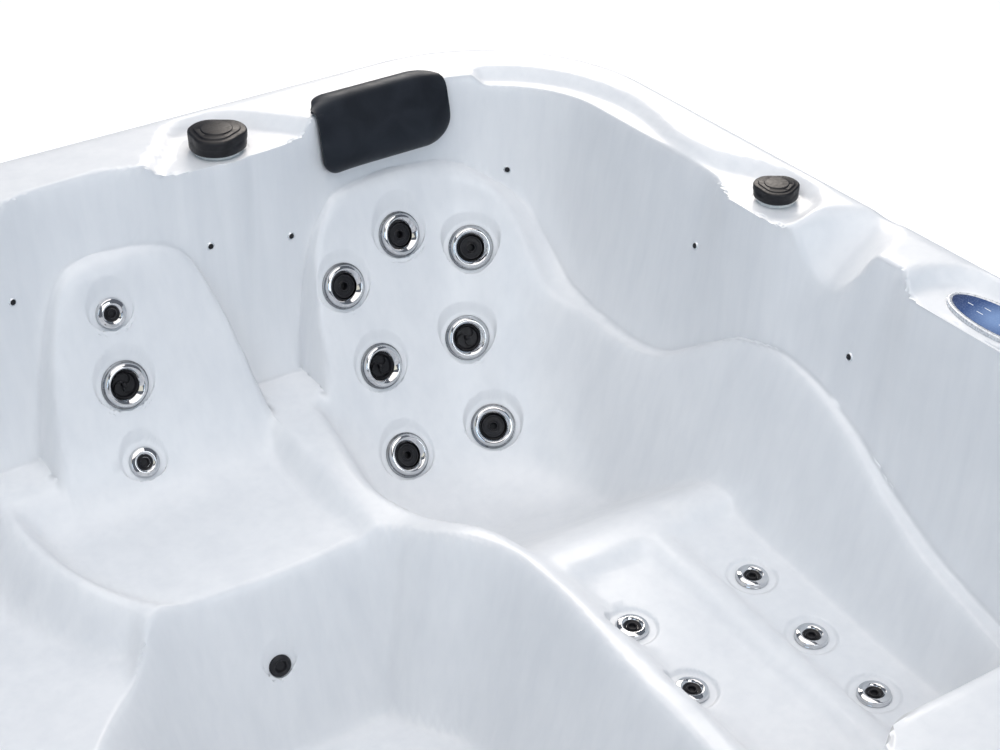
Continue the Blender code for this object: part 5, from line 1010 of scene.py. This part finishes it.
def hollow(angle):
    """How far a knob is hollowed at an angle: 0 on its round lobes and 1 between them."""
    return (0.5 - 0.5 * math.cos(CAP_LOBES * (angle + CAP_TURN))) ** CAP_POWER


def turned(name, profile, matrix=None, closed=False, sides=ROUND_SIDES, sharp=SHARP):
    """A round solid from radii and heights; a third value is how deep a knob's hollows are."""
    made = bmesh.new()
    rings = []
    for radius, height, *depth in profile:
        if radius <= 0.0:
            rings.append([made.verts.new((0.0, 0.0, height))])
            continue
        ring = []
        for k in range(sides):
            angle = math.tau * k / sides
            r = radius * (1.0 - depth[0] * hollow(angle)) if depth else radius
            ring.append(made.verts.new((r * math.cos(angle), r * math.sin(angle), height)))
        rings.append(ring)
    if len(rings[0]) > 1 and not closed:
        made.faces.new(rings[0])
    for one, two in zip(rings, rings[1:] + (rings[:1] if closed else [])):
        for k in range(sides):
            j = (k + 1) % sides
            corners = [one[k % len(one)], one[j % len(one)], two[j % len(two)], two[k % len(two)]]
            corners = list(dict.fromkeys(corners))
            if len(corners) > 2:
                made.faces.new(corners)
    bmesh.ops.recalc_face_normals(made, faces=made.faces)
    return finished(name, made, matrix, sharp)


def scaled(shares, radius, base, high):
    """Part of a profile, from shares of a radius and of a height above its base."""
    return [(radius * out, base + high * up) for out, up in shares]


def arc(middle, radius, start, end, steps=8):
    """Points of an arc in a profile, from one angle to another in degrees."""
    points = []
    for k in range(steps + 1):
        angle = math.radians(start + (end - start) * k / steps)
        points.append((middle[0] + radius * math.cos(angle), middle[1] + radius * math.sin(angle)))
    return points


def merged(name, things):
    """One mesh from several, each with its own material kept."""
    bpy.ops.object.select_all(action="DESELECT")
    for thing in things:
        thing.select_set(True)
    bpy.context.view_layer.objects.active = things[0]
    bpy.ops.object.join()
    things[0].name = name
    return things[0]


def dress(thing, look):
    thing.data.materials.append(look)
    return thing


def stand(thing, node, body):
    """The piece takes the place of a CAD node and moves with its body."""
    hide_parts(node)
    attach(thing, body)
    return thing


def true_normals(thing):
    """Gives the moulded face its exact normals, so that soft folds shade evenly across the mesh."""
    mesh = thing.data
    places = np.empty(len(mesh.vertices) * 3)
    mesh.vertices.foreach_get("co", places)
    x, y, z = places.reshape(-1, 3).T
    edge = rounded_box(x, y, HALF_LENGTH, HALF_WIDTH, OUTER_CORNER)
    on_mould = (np.abs(TUB_HEIGHT - surface_depth(x, y) - z) < NORMAL_REACH) & (edge < -NORMAL_STEP * 3.0)
    away = np.min([np.hypot(x - seat.x, y - seat.y) - seat.radius - PAD_EDGE for seat in ALL_SEATS], axis=0)
    step = np.minimum(NORMAL_STEP + np.clip(away, 0.0, NORMAL_STEP_FAR), np.maximum(-edge, NORMAL_STEP))
    slopes = [
        surface_depth(x + step * one, y + step * other) - surface_depth(x - step * one, y - step * other)
        for one, other in ((1.0, 0.0), (0.0, 1.0))
    ]
    exact = np.stack([*slopes, step * 2.0], -1)
    exact /= np.linalg.norm(exact, axis=1, keepdims=True)
    corners = np.empty(len(mesh.loops), np.int32)
    mesh.loops.foreach_get("vertex_index", corners)
    plain = np.empty(len(mesh.loops) * 3)
    mesh.corner_normals.foreach_get("vector", plain)
    faces = np.empty(len(mesh.polygons) * 3)
    mesh.polygons.foreach_get("normal", faces)
    sides = np.empty(len(mesh.polygons), np.int32)
    mesh.polygons.foreach_get("loop_total", sides)
    flat = np.repeat(faces.reshape(-1, 3), sides, axis=0)
    wanted = exact[corners]
    use = on_mould[corners] & ((flat * wanted).sum(-1) > NORMAL_FACING)
    mesh.normals_split_custom_set(np.where(use[:, None], wanted, plain.reshape(-1, 3)).tolist())
    return thing


def baked(thing):
    """Replaces the object's mesh by what its modifiers make of it."""
    seen = thing.evaluated_get(bpy.context.evaluated_depsgraph_get())
    mesh = bpy.data.meshes.new_from_object(seen)
    mesh.materials.clear()
    thing.modifiers.clear()
    thing.data = mesh
    return thing


def moulded_sheet():
    """The inside surface with a skirt under its rim, made finer round every fitting."""
    points = moulded_grid(MOULD_FINE, SHELL_LINES)
    made = bmesh.new()
    grid = [[made.verts.new(point) for point in row] for row in points]
    for one, two in zip(grid, grid[1:]):
        for i in range(len(one) - 1):
            made.faces.new((one[i], two[i], two[i + 1], one[i + 1]))
    bmesh.ops.remove_doubles(made, verts=made.verts, dist=WELD)
    near = set()
    made.faces.ensure_lookup_table()
    middles = np.array([face.calc_center_median()[:2] for face in made.faces])
    for seat in ALL_SEATS:
        away = np.hypot(middles[:, 0] - seat.x, middles[:, 1] - seat.y)
        near.update(made.faces[int(index)] for index in np.nonzero(away < seat.radius + PAD_EDGE * 2.0)[0])
    edges = {edge for face in near for edge in face.edges}
    bmesh.ops.subdivide_edges(made, edges=list(edges), cuts=SEAT_CUTS, use_grid_fill=True)
    inside = [
        v for v in made.verts
        if v.co.z > TUB_HEIGHT - RIM_ROUND - WELD
        or max(abs(v.co.x) / HALF_LENGTH, abs(v.co.y) / HALF_WIDTH) < INNER_share
    ]
    plan = np.array([v.co[:2] for v in inside])
    for v, depth in zip(inside, surface_depth(plan[:, 0], plan[:, 1])):
        v.co.z = TUB_HEIGHT - depth
    bmesh.ops.triangulate(made, faces=[face for face in made.faces if len(face.verts) > 4])
    return finished("tub_shell", made)


def large_bezel(name, seat):
    """A domed trim ring over a thin flange, with a polished throat that drops to the nozzle. The flange's
    darker metal is painted shade: it stands in for the dark reflection and contact shadow round the ring.
    """
    z, crest, edge = PAD_Z, PAD_Z + LARGE_RING_HIGH - CREST_ROUND, LARGE_RING - FLANGE_OUT
    dome = turned(name, [
        (LARGE_BORE, z - SLEEVE_LONG), (LARGE_BORE, z),
        *arc((THROAT + THROAT_LIP, z + THROAT_UP), THROAT_LIP, 215.0, 150.0, 4),
        *arc((CREST, crest), CREST_ROUND, 140.0, 75.0, 6),
        *arc((CREST, crest - DOME_DROP), CREST_ROUND + DOME_DROP, 72.0, 8.0, 8),
        (edge, z), (LARGE_SLEEVE, z), (LARGE_SLEEVE, z - SLEEVE_LONG),
    ], seat.matrix(), closed=True)
    flange = turned(name + "_flange", [
        (CREST, z), (CREST, z + FLANGE_HIGH * 0.5), (edge, z + FLANGE_HIGH),
        *arc((LARGE_RING - FLANGE_ROUND, z + FLANGE_HIGH - FLANGE_ROUND), FLANGE_ROUND, 80.0, 0.0, 3),
        (LARGE_RING, z),
    ], seat.matrix(), closed=True)
    # The flange gets the darker metal, which is painted shade for the dark reflection and contact shadow
    # round the ring.
    return merged(name, [dress(dome, CHROME), dress(flange, SHADE_PAINTED_CHROME)])


def ball_nozzle(name, seat):
    """A ball with a stepped face, a raised ring and a deep bore."""
    start, end = (math.degrees(math.asin(height / BALL)) for height in (BALL_FRONT, -BALL_BACK))
    face, edge = BALL_FRONT, BALL * math.cos(math.radians(start))
    profile = [
        (0.0, face - BORE_DEEP), (NOZZLE_BORE - RELIEF, face - BORE_DEEP),
        *arc((NOZZLE_BORE + RELIEF, face - RELIEF), RELIEF, 180.0, 40.0, 4),
        *arc((RAISED_RING, face - RELIEF * 2.0), RELIEF * 1.5, 160.0, 20.0, 4),
        (edge - RELIEF * 3.0, face - RELIEF * 2.2), (edge - RELIEF * 2.0, face),
        *arc((0.0, 0.0), BALL, start, end, 10), (0.0, -BALL_BACK),
    ]
    place = seat.matrix() @ Matrix.Translation((0.0, 0.0, -BALL_DROP))
    return dress(turned(name, profile, place), BLACK)


def rotor(name, seat):
    """A spinning insert: a dished face with three curved vanes and three slanting outlets."""
    place = seat.matrix()
    front, dish = -RELIEF, -RELIEF - ROTOR_DISH
    profile = [
        (0.0, HUB * 0.6), *arc((0.0, -HUB * 0.4), HUB, 80.0, 35.0, 4),
        (HUB, dish), (BALL * ROTOR_DISH_share, dish),
        *arc((BALL - RELIEF * 2.0, front), RELIEF * 2.0, 180.0, 0.0, 6),
        (BALL, -ROTOR_BACK), (0.0, -ROTOR_BACK),
    ]
    things = [turned(name, profile, place)]
    for k in range(VANES):
        things.append(vane(name + "_vane", place @ Matrix.Rotation(math.tau * k / VANES, 4, "Z")))
    return dress(merged(name, things), BLACK)


def vane(name, place):
    """One curved blade that stands on the insert's face."""
    rings = []
    low = -ROTOR_DISH - RELIEF * 2.0
    for k in range(VANE_STEPS + 1):
        t = k / VANE_STEPS
        r = HUB * 0.5 + (BALL * VANE_REACH_share - HUB * 0.5) * t
        angle = VANE_SWEEP * t * t
        out = Vector((math.cos(angle), math.sin(angle), 0.0))
        side = Vector((-out.y, out.x, 0.0))
        half = VANE_THICK * (1.2 - 0.6 * t)
        top = -RELIEF * (0.2 + 0.8 * t)
        edge, shoulder = half * 0.7, top - RELIEF * 0.4
        ring = [(-half, low), (-edge, shoulder), (0.0, top), (edge, shoulder), (half, low)]
        rings.append([out * r + side * across + Vector((0.0, 0.0, z)) for across, z in ring])
    return skinned(name, rings, place)


def small_ring(name, seat):
    """A trim ring with an upright side, a rounded crown and a funnel that holds the black outlet."""
    z = PAD_Z
    low, crown = z + SMALL_THROAT_UP, z + SMALL_RING_HIGH - CREST_ROUND
    ring = turned(name, [
        (SMALL_BORE, z - SMALL_SLEEVE_LONG), (SMALL_BORE, low),
        *arc((SMALL_THROAT + THROAT_LIP, low + SMALL_FALL), THROAT_LIP, 210.0, 140.0, 4),
        *arc((SMALL_CREST, crown), CREST_ROUND, 135.0, 75.0, 6),
        *arc((SMALL_RING - SMALL_SHOULDER, crown - SMALL_FALL), CREST_ROUND, 70.0, 5.0, 6),
        (SMALL_RING - FLANGE_ROUND, z + FLANGE_HIGH * 1.4), (SMALL_RING, z + FLANGE_HIGH),
        (SMALL_RING, z), (SMALL_SLEEVE, z), (SMALL_SLEEVE, z - SMALL_SLEEVE_LONG),
    ], seat.matrix(), closed=True)
    inner = SMALL_THROAT - RELIEF * 0.2
    outlet = turned(name + "_outlet", [
        *scaled(OUTLET_FLOOR, inner, low, RELIEF),
        *arc((inner * 0.56, low + RELIEF * 1.5), inner * 0.08, 160.0, 20.0, 4),
        *scaled(OUTLET_EDGE, inner, low, RELIEF),
    ], seat.matrix())
    return merged(name, [dress(ring, CHROME), dress(outlet, BLACK)])


def knob(name, seat, radius, high):
    """A lobed hand knob: hollows in its side, a chamfered crown and two steps up to a round boss."""
    profile = [
        (radius * size, CAP_BASE + up * high, CAP_LOBE_share * depth) for size, up, depth in KNOB_LEVELS
    ]
    return dress(turned(name, profile, seat.matrix(), sides=KNOB_SIDES, sharp=KNOB_SHARP), BLACK)


def oval(half_x, half_y, height):
    angles = [math.tau * k / OVAL_SIDES for k in range(OVAL_SIDES)]
    return [(half_x * math.cos(angle), half_y * math.sin(angle), height) for angle in angles]


def panel_housing():
    """The oval frame: a soft outer roll, a bright inner bevel and the ledge that the display lies in."""
    z, high, ledge = PAD_Z, PANEL_HIGH, PANEL_LEDGE
    body = (PANEL_HALF_LONG * PANEL_BODY_share, PANEL_HALF_WIDE * PANEL_BODY_share)
    in_share, up_share = PANEL_ROLL_shares
    bevel_in, bevel_up = PANEL_BEVEL_shares

    def ring(inset, height):
        return oval(PANEL_HALF_LONG - inset, PANEL_HALF_WIDE - inset, height)

    rings = [oval(*body, z - PANEL_BODY_LONG), oval(*body, z), ring(0.0, z), ring(0.0, z + high * up_share)]
    for k in range(PANEL_ROLL_STEPS):
        angle = math.pi / 2.0 * (k + 1) / PANEL_ROLL_STEPS
        up = z + high * (up_share + (1.0 - up_share) * math.sin(angle))
        rings.append(ring(ledge * in_share * (1.0 - math.cos(angle)), up))
    rings += [ring(ledge * bevel_in, z + high), ring(ledge, z + high * bevel_up)]
    rings.append(ring(ledge, z + high - SCREEN_THICK - CLEARANCE))
    return dress(skinned("panel_frame", rings, PANEL_PLACE, FRAME_SHARP), SILVER)


def rounded_outline(half_x, half_y, corner, steps):
    points = []
    for quarter, (side_x, side_y) in enumerate(((1, 1), (-1, 1), (-1, -1), (1, -1))):
        middle_x, middle_y = side_x * (half_x - corner), side_y * (half_y - corner)
        for k in range(steps + 1):
            angle = math.pi / 2.0 * (quarter + k / steps)
            points.append((middle_x + corner * math.cos(angle), middle_y + corner * math.sin(angle)))
    return points


def pill(name, half_x, half_y, centre, levels, look):
    """A rounded bar on the panel, made of outlines at several heights."""
    rings = []
    for inset, z in levels:
        points = rounded_outline(half_x - inset, half_y - inset, (half_y - inset) * ROUND_END_share, 8)
        rings.append([(x + centre[0], y + centre[1], z) for x, y in points])
    return dress(skinned(name, rings, PANEL_PLACE, PANEL_SHARP), look)


def display():
    """The glossy display with plain bars for its printed marks."""
    top = PAD_Z + PANEL_HIGH
    low, edge = top - SCREEN_THICK, MARK_HIGH * 2.0
    long, wide = PANEL_HALF_LONG - PANEL_LEDGE - CLEARANCE, PANEL_HALF_WIDE - PANEL_LEDGE - CLEARANCE
    rings = [oval(long, wide, low), oval(long, wide, top - edge), oval(long - edge, wide - edge, top)]
    pieces = [dress(skinned("panel_display", rings, PANEL_PLACE, PANEL_SHARP), DISPLAY)]
    levels = ((0.0, top - edge), (0.0, top + MARK_HIGH))
    pieces += [pill("mark", half, MARK_HALF, (x, y), levels, MARKS) for x, y, half in MARK_PLACES]
    return merged("panel_display", pieces)


def panel_key():
    """The one key; its foot is high enough to stay inside the display when it is pressed."""
    top = PAD_Z + PANEL_HIGH + BUTTON_PROUD + MARK_HIGH
    low = PAD_Z + PANEL_HIGH - SCREEN_THICK + BUTTON_TRAVEL * 1.5
    edge = BUTTON_PROUD * 0.5
    half, wide = BUTTON_HALF_LONG + BUTTON_ROOM - CLEARANCE, BUTTON_HALF_WIDE + BUTTON_ROOM - CLEARANCE
    levels = ((0.0, low), (0.0, top - edge), (edge, top))
    return pill("panel_key", half, wide, (BUTTON_SHIFT, 0.0), levels, BLACK)


def lens(name, seat):
    """A small light: a pale collar on the shell with a dark bead in it."""
    inner, high = LENS - LENS_WALL, LENS_HIGH
    collar = turned(name, [
        (inner, 0.0), (inner, high * 0.55), (LENS - LENS_WALL * 0.5, high * 0.75),
        (LENS, high * 0.45), (LENS + LENS_WALL * 0.5, 0.0),
    ], seat.matrix(), closed=True, sides=LENS_SIDES)
    bead = turned(name + "_bead", [
        *scaled(LENS_BEAD_shares, LENS, 0.0, high), (inner, high * 0.2),
        (inner, GLOW_HIGH * 0.05), (LENS * 0.5, GLOW_HIGH * 0.9),
    ], seat.matrix(), sides=LENS_SIDES)
    return merged(name, [dress(collar, SILVER), dress(bead, BLACK)])


def suction_cover():
    """A domed guard with two rows of slots round its face."""
    z, high, inner = PAD_Z, SUCTION_HIGH, SUCTION_SLEEVE - JET_WALL
    profile = [
        *scaled(SUCTION_shares, SUCTION, z, high),
        (SUCTION, z), (SUCTION_SLEEVE, z), (SUCTION_SLEEVE, z - COLLAR_LONG),
        (inner, z - COLLAR_LONG), (inner, z + JET_WALL), (0.0, z + JET_WALL),
    ]
    cover = turned("suction_guard", profile, SUCTION_SEAT.matrix())
    points = rounded_outline(SLOT_LONG, SLOT_HALF, SLOT_HALF * ROUND_END_share, 4)
    levels = (z + JET_WALL * 2.0, z + high * 2.0)
    slots = []
    for ring, count in SUCTION_SLOTS:
        rings = [[(x + SUCTION * ring, y, level) for x, y in points] for level in levels]
        for k in range(count):
            turn = Matrix.Rotation(math.tau * (k + 0.5) / count, 4, "Z")
            slots.append(skinned("slot", rings, SUCTION_SEAT.matrix() @ turn))
    return dress(cut(cover, slots), BLACK)


def cut(thing, cutters):
    """Takes the cutters out of the piece and shades what is left."""
    cutter = merged("cutter", cutters)
    taken = thing.modifiers.new("Cut", "BOOLEAN")
    taken.operation = "DIFFERENCE"
    taken.solver = "MANIFOLD"
    taken.object = cutter
    baked(thing)
    bpy.data.objects.remove(cutter)
    thing.data.shade_smooth()
    thing.data.set_sharp_from_angle(angle=SHARP)
    return thing


def footwell_light():
    """A round lamp: a sunk middle, a raised ring, a rounded edge, and its neck and nut behind the shell."""
    z, ring = PAD_Z, PAD_Z + LIGHT_HIGH * 0.6
    profile = [
        (0.0, z - RELIEF), (LIGHT * 0.42, z + RELIEF), (LIGHT * 0.50, ring),
        *arc((LIGHT * 0.62, ring), LIGHT * 0.12, 170.0, 60.0, 4),
        *scaled(LIGHT_EDGE_shares, LIGHT, z, LIGHT_HIGH),
        (LIGHT_NECK, z), (LIGHT_NECK, NUT_Z), (LIGHT_NUT, NUT_Z), (LIGHT_NUT, NUT_Z - NUT_THICK),
        (LIGHT_NECK, -LIGHT_BACK), (0.0, -LIGHT_BACK),
    ]
    return dress(turned("footwell_lamp", profile, LIGHT_SEAT.matrix()), BLACK)


def filter_cover():
    """The filter's round cover: a dished top with a bar to turn it by."""
    base, high = PAD_Z + CANISTER_FLANGE_HIGH + CLEARANCE, LID_HIGH
    profile = [
        *scaled(LID_DISH_shares, LID, base, high),
        *arc((LID * 0.80, base + high * 0.80), LID * 0.03, 120.0, 60.0, 4),
        *scaled(LID_EDGE_shares, LID, base, high),
    ]
    place = FILTER_SEAT.matrix()
    cover = turned("skimmer_cover", profile, place, sides=LID_SIDES)
    dish, foot = base + high * LID_DISH_shares[0][1], base + high * GRIP_LOW_share
    rings = []
    for k in range(GRIP_STEPS + 1):
        t = -1.0 + 2.0 * k / GRIP_STEPS
        crown = max(0.0, 1.0 - abs(t) ** 3.0)
        half = LID_GRIP_WIDE / 2.0 * (GRIP_NARROW_share + (1.0 - GRIP_NARROW_share) * crown)
        top = dish + (LID_GRIP + base + high - dish) * crown
        side = [(half, foot), (half, top - RELIEF), (half - RELIEF, top)]
        points = [(-y, z) for y, z in side] + side[::-1]
        rings.append([(t * LID_GRIP_LONG / 2.0, y, z) for y, z in points])
    return dress(merged("skimmer_cover", [cover, skinned("lift_bar", rings, place)]), PALE)


def tub_shell():
    """The moulded shell with a hole and a spot-face for every fitting."""
    shell = moulded_sheet()
    wall = shell.modifiers.new("Wall", "SOLIDIFY")
    wall.thickness = SHELL_THICK
    wall.offset = -1.0
    baked(shell)
    cutters = [opening(seat, LARGE_RING, LARGE_NECK) for seat in LARGE_JETS]
    cutters += [opening(seat, SMALL_RING, SMALL_NECK) for seat in SMALL_JETS]
    cutters += [pin_hole(seat, GLOW) for seat in GLOW_SEATS]
    cutters.append(pin_hole(OZONE_SEAT, OZONE))
    for seat, ring, neck in (
        (SUCTION_SEAT, SUCTION, SUCTION_NECK),
        (LIGHT_SEAT, LIGHT, LIGHT_NECK),
        (DIVERTER_SEAT, DIVERTER_CAP, DIVERTER_NECK),
        (AIR_SEAT, AIR_CAP, AIR_NECK),
        (FILTER_SEAT, CANISTER + CANISTER_FLANGE, CANISTER),
    ):
        cutters.append(opening(seat, ring, neck))
    levels = (
        (PANEL_BODY_share, CLEARANCE, -PANEL_BODY_LONG - OVERRUN), (PANEL_BODY_share, CLEARANCE, -SPOT_FACE),
        (1.0, SPOT_MARGIN, -SPOT_FACE), (1.0, SPOT_MARGIN, OVERRUN * 3.0),
    )
    rings = [
        oval(PANEL_HALF_LONG * share + more, PANEL_HALF_WIDE * share + more, z) for share, more, z in levels
    ]
    cutters.append(skinned("panel_hole", rings, PANEL_PLACE))
    return dress(true_normals(cut(shell, cutters)), ACRYLIC)


def opening(seat, ring, neck):
    ring, neck, far = ring + SPOT_MARGIN, neck + CLEARANCE, HOLE_REACH
    profile = [(0.0, far), (ring, far), (ring, -SPOT_FACE), (neck, -SPOT_FACE), (neck, -far), (0.0, -far)]
    return turned("hole", profile, seat.matrix())


def pin_hole(seat, radius):
    radius, far = radius + CLEARANCE, HOLE_REACH
    profile = [(0.0, far), (radius, far), (radius, -far), (0.0, -far)]
    return turned("pin_hole", profile, seat.matrix(), sides=HOLE_SIDES)


def corner_cut(distance, radius):
    """How much a round corner takes off a row at this distance from the cushion's end."""
    return radius - math.sqrt(radius**2 - max(radius - distance, 0.0) ** 2)


def crowded(t):
    """Moves a share between -1 and 1 towards the nearer end."""
    return math.copysign(1.0 - (1.0 - abs(t)) ** PILLOW_CROWDING, t)


def rounded(t, power):
    """1 in the middle of the cushion and 0 at both ends."""
    return (1.0 - abs(t) ** power) ** (1.0 / power)


def pillow_ring(t):
    """One section of the cushion: its back keeps to the shell and its front is one crowned plane."""
    left, right = (1.0 + t) * PILLOW_HALF, (1.0 - t) * PILLOW_HALF
    top = PILLOW_TOP_share * HALF_WIDTH
    lean = PILLOW_LEAN * (1.0 - t) / 2.0 * np.interp(np.linspace(0.0, 1.0, PILLOW_SAMPLES), *PILLOW_LEAN_RUN)
    xs = PILLOW_share * HALF_LENGTH + t * PILLOW_HALF - lean
    ys = np.linspace(top, top - PILLOW_SPAN, PILLOW_SAMPLES)
    z = TUB_HEIGHT - surface_depth(xs, ys)
    run = np.concatenate([[0.0], np.cumsum(np.hypot(np.diff(ys), np.diff(z)))])
    full = np.interp(PILLOW_LOW_DEPTH, TUB_HEIGHT - z, run)
    start = corner_cut(left, PILLOW_TOP_LEFT) + corner_cut(right, PILLOW_TOP_RIGHT)
    finish = full - corner_cut(left, PILLOW_LOW_LEFT) - corner_cut(right, PILLOW_LOW_RIGHT)

    def on_skin(at):
        return np.array([np.interp(at, run, ys), np.interp(at, run, z)])

    def outwards(one, two):
        along = (two - one) / np.linalg.norm(two - one)
        return np.array([along[1], -along[0]])

    first = on_skin(0.0)
    out = outwards(first, on_skin(full))
    front, back = [], []
    for k in range(PILLOW_COLUMNS):
        s = crowded(-1.0 + 2.0 * k / (PILLOW_COLUMNS - 1))
        at = start + (finish - start) * (1.0 + s) / 2.0
        here = on_skin(at)
        away = outwards(here, on_skin(at + SLOPE_STEP))
        across = np.interp(at, run, xs)
        crown = rounded(t, PILLOW_END_POWER) * rounded(s, PILLOW_CROWN_POWER)
        low = here + away * (PILLOW_GAP + PILLOW_EDGE)
        plane = PILLOW_HIGH + PILLOW_BULGE * (1.0 - s * s) * (1.0 - t * t)
        front.append((across, *(low + out * (plane - np.dot(low - first, out)) * crown)))
        if 0 < k < PILLOW_COLUMNS - 1:
            back.append((across, *(here + away * PILLOW_GAP)))
    return front + back[::-1]


def pillow():
    """The head cushion: it follows the shell behind and has a crowned front with rolled sides."""
    rings = [pillow_ring(crowded(-1.0 + 2.0 * row / (PILLOW_ROWS - 1))) for row in range(PILLOW_ROWS)]
    return dress(skinned("head_pillow", rings, sharp=PILLOW_SHARP), CUSHION)


def area_light(name, at, towards, side, watts, colour):
    lamp = bpy.data.lights.new(name, "AREA")
    lamp.shape = "RECTANGLE"
    lamp.size = lamp.size_y = side
    lamp.energy = watts
    lamp.color = colour
    thing = bpy.data.objects.new(name, lamp)
    bpy.context.scene.collection.objects.link(thing)
    thing.location = at
    thing.rotation_euler = (Vector(towards) - Vector(at)).to_track_quat("-Z", "Y").to_euler()


def world_light():
    """One light for plain rays, a more neutral one for mirrored rays and a backdrop for the camera."""
    world = bpy.data.worlds.new("studio")
    bpy.context.scene.world = world
    world.use_nodes = True
    tree = world.node_tree
    path = tree.nodes.new("ShaderNodeLightPath")

    def light(colour, strength):
        made = tree.nodes.new("ShaderNodeBackground")
        made.inputs["Color"].default_value = (*colour, 1.0)
        made.inputs["Strength"].default_value = strength
        return made.outputs[0]

    def picked(ray, others, own):
        made = tree.nodes.new("ShaderNodeMixShader")
        for socket, source in enumerate((path.outputs[ray], others, own)):
            tree.links.new(source, made.inputs[socket])
        return made.outputs[0]

    seen = picked("Is Glossy Ray", light(*WORLD_LIGHT), light(*MIRRORED_LIGHT))
    seen = picked("Is Camera Ray", seen, light(*BACKDROP))
    tree.links.new(seen, tree.nodes["World Output"].inputs["Surface"])


def build_stage():
    """Pale floor, a soft light overhead and one at the back right, weaker ones in front, and a pale world."""
    made = bmesh.new()
    bmesh.ops.create_grid(made, x_segments=8, y_segments=8, size=FLOOR_SIZE / 2.0)
    floor = dress(finished("floor", made), floor_look())
    for lamp in LAMPS:
        area_light(*lamp)
    world_light()


def build_camera():
    lens_data = bpy.data.cameras.new("camera")
    lens_data.sensor_width = SENSOR
    lens_data.lens = CAMERA_LENS
    camera = bpy.data.objects.new("camera", lens_data)
    bpy.context.scene.collection.objects.link(camera)
    axes = Matrix((CAMERA_RIGHT, CAMERA_UP, -Vector(CAMERA_FORWARD))).transposed().to_4x4()
    camera.matrix_world = Matrix.Translation(CAMERA_AT) @ axes
    bpy.context.scene.camera = camera


build_camera()
CHROME = chrome_look()
# Darker metal for the bezels' flanges: painted shade, standing in for the dark reflection and contact shadow
# round each ring.
SHADE_PAINTED_CHROME = plain_look("ring_edge_painted_shade", (0.20, 0.21, 0.22), (0.28, 0.29, 0.31), 0.30, 700.0, metal=1.0)
BLACK = plain_look(
    "black_plastic", (0.008, 0.008, 0.010), (0.015, 0.015, 0.018), 0.40, 900.0, Specular_IOR_Level=0.28,
)
SILVER = plain_look("silver_paint", (0.60, 0.62, 0.65), (0.74, 0.76, 0.79), 0.28, 800.0, metal=0.35)
PALE = plain_look("pale_plastic", (0.60, 0.63, 0.66), (0.70, 0.73, 0.76), 0.35, 700.0)
MARKS = plain_look("printed_marks", (0.62, 0.70, 0.82), (0.76, 0.82, 0.90), 0.4, 900.0)
ACRYLIC = acrylic_look()
CUSHION = cushion_look()
DISPLAY = screen_look()
FRAME_LOOKS = {
    "cabinet": cabinet_look(),
    "timber": timber_look(),
    "filter_paper": paper_look(),
    "tray": plain_look("tray_plastic", (0.030, 0.030, 0.033), (0.048, 0.048, 0.052), 0.6, 500.0),
    "pipework": plain_look("pipe_plastic", (0.66, 0.67, 0.66), (0.76, 0.77, 0.75), 0.35, 500.0),
    "motor_paint": plain_look("motor_enamel", (0.040, 0.045, 0.055), (0.060, 0.066, 0.080), 0.42, 600.0),
    "steel": plain_look("brushed_steel", (0.46, 0.47, 0.48), (0.56, 0.57, 0.58), 0.3, 700.0, metal=1.0),
    "pale_plastic": PALE,
    "black_plastic": BLACK,
    "chrome": CHROME,
    "acrylic": ACRYLIC,
    "cushion": CUSHION,
    "screen": DISPLAY,
}


for part in frame["record"]["subparts"]:
    skin_of = frame["nodes"][part["node"]].data.materials
    skin_of.clear()
    skin_of.append(FRAME_LOOKS[part["material_slot"]])

stand(tub_shell(), "shell", "tub")
for seat, place in zip(LARGE_JETS, LARGE_JET_NAMES):
    stand(large_bezel(f"bezel_{place}", seat), f"jet_bezel_{place}", f"bezel_{place}")
    shape = rotor if place in SPINNING_JETS else ball_nozzle
    stand(shape(f"nozzle_{place}", seat), f"jet_nozzle_{place}", f"nozzle_{place}")
for seat, place in zip(SMALL_JETS, SMALL_JET_NAMES):
    stand(small_ring(f"ring_{place}", seat), f"jet_ring_{place}", f"ring_{place}")
diverter = knob("diverter_knob", DIVERTER_SEAT, DIVERTER_CAP, DIVERTER_CAP_HIGH - COLLAR)
stand(diverter, "diverter_cap", "diverter_knob")
air = knob("air_knob", AIR_SEAT, AIR_CAP, AIR_CAP_HIGH - COLLAR)
stand(air, "air_control_cap", "air_knob")
stand(panel_housing(), "panel_housing", "tub")
stand(display(), "panel_screen", "tub")
stand(panel_key(), "panel_button", "button")
stand(suction_cover(), "suction_cover", "tub")
stand(footwell_light(), "footwell_light", "tub")
stand(filter_cover(), "filter_lid", "filter_cover")
for i, seat in enumerate(GLOW_SEATS):
    light = lens(f"wall_light_{i + 1}", seat)
    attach(light, "tub")
cushion = stand(pillow(), "lounge_pillow", "tub")
build_stage()
bpy.context.scene.view_settings.view_transform = "Standard"
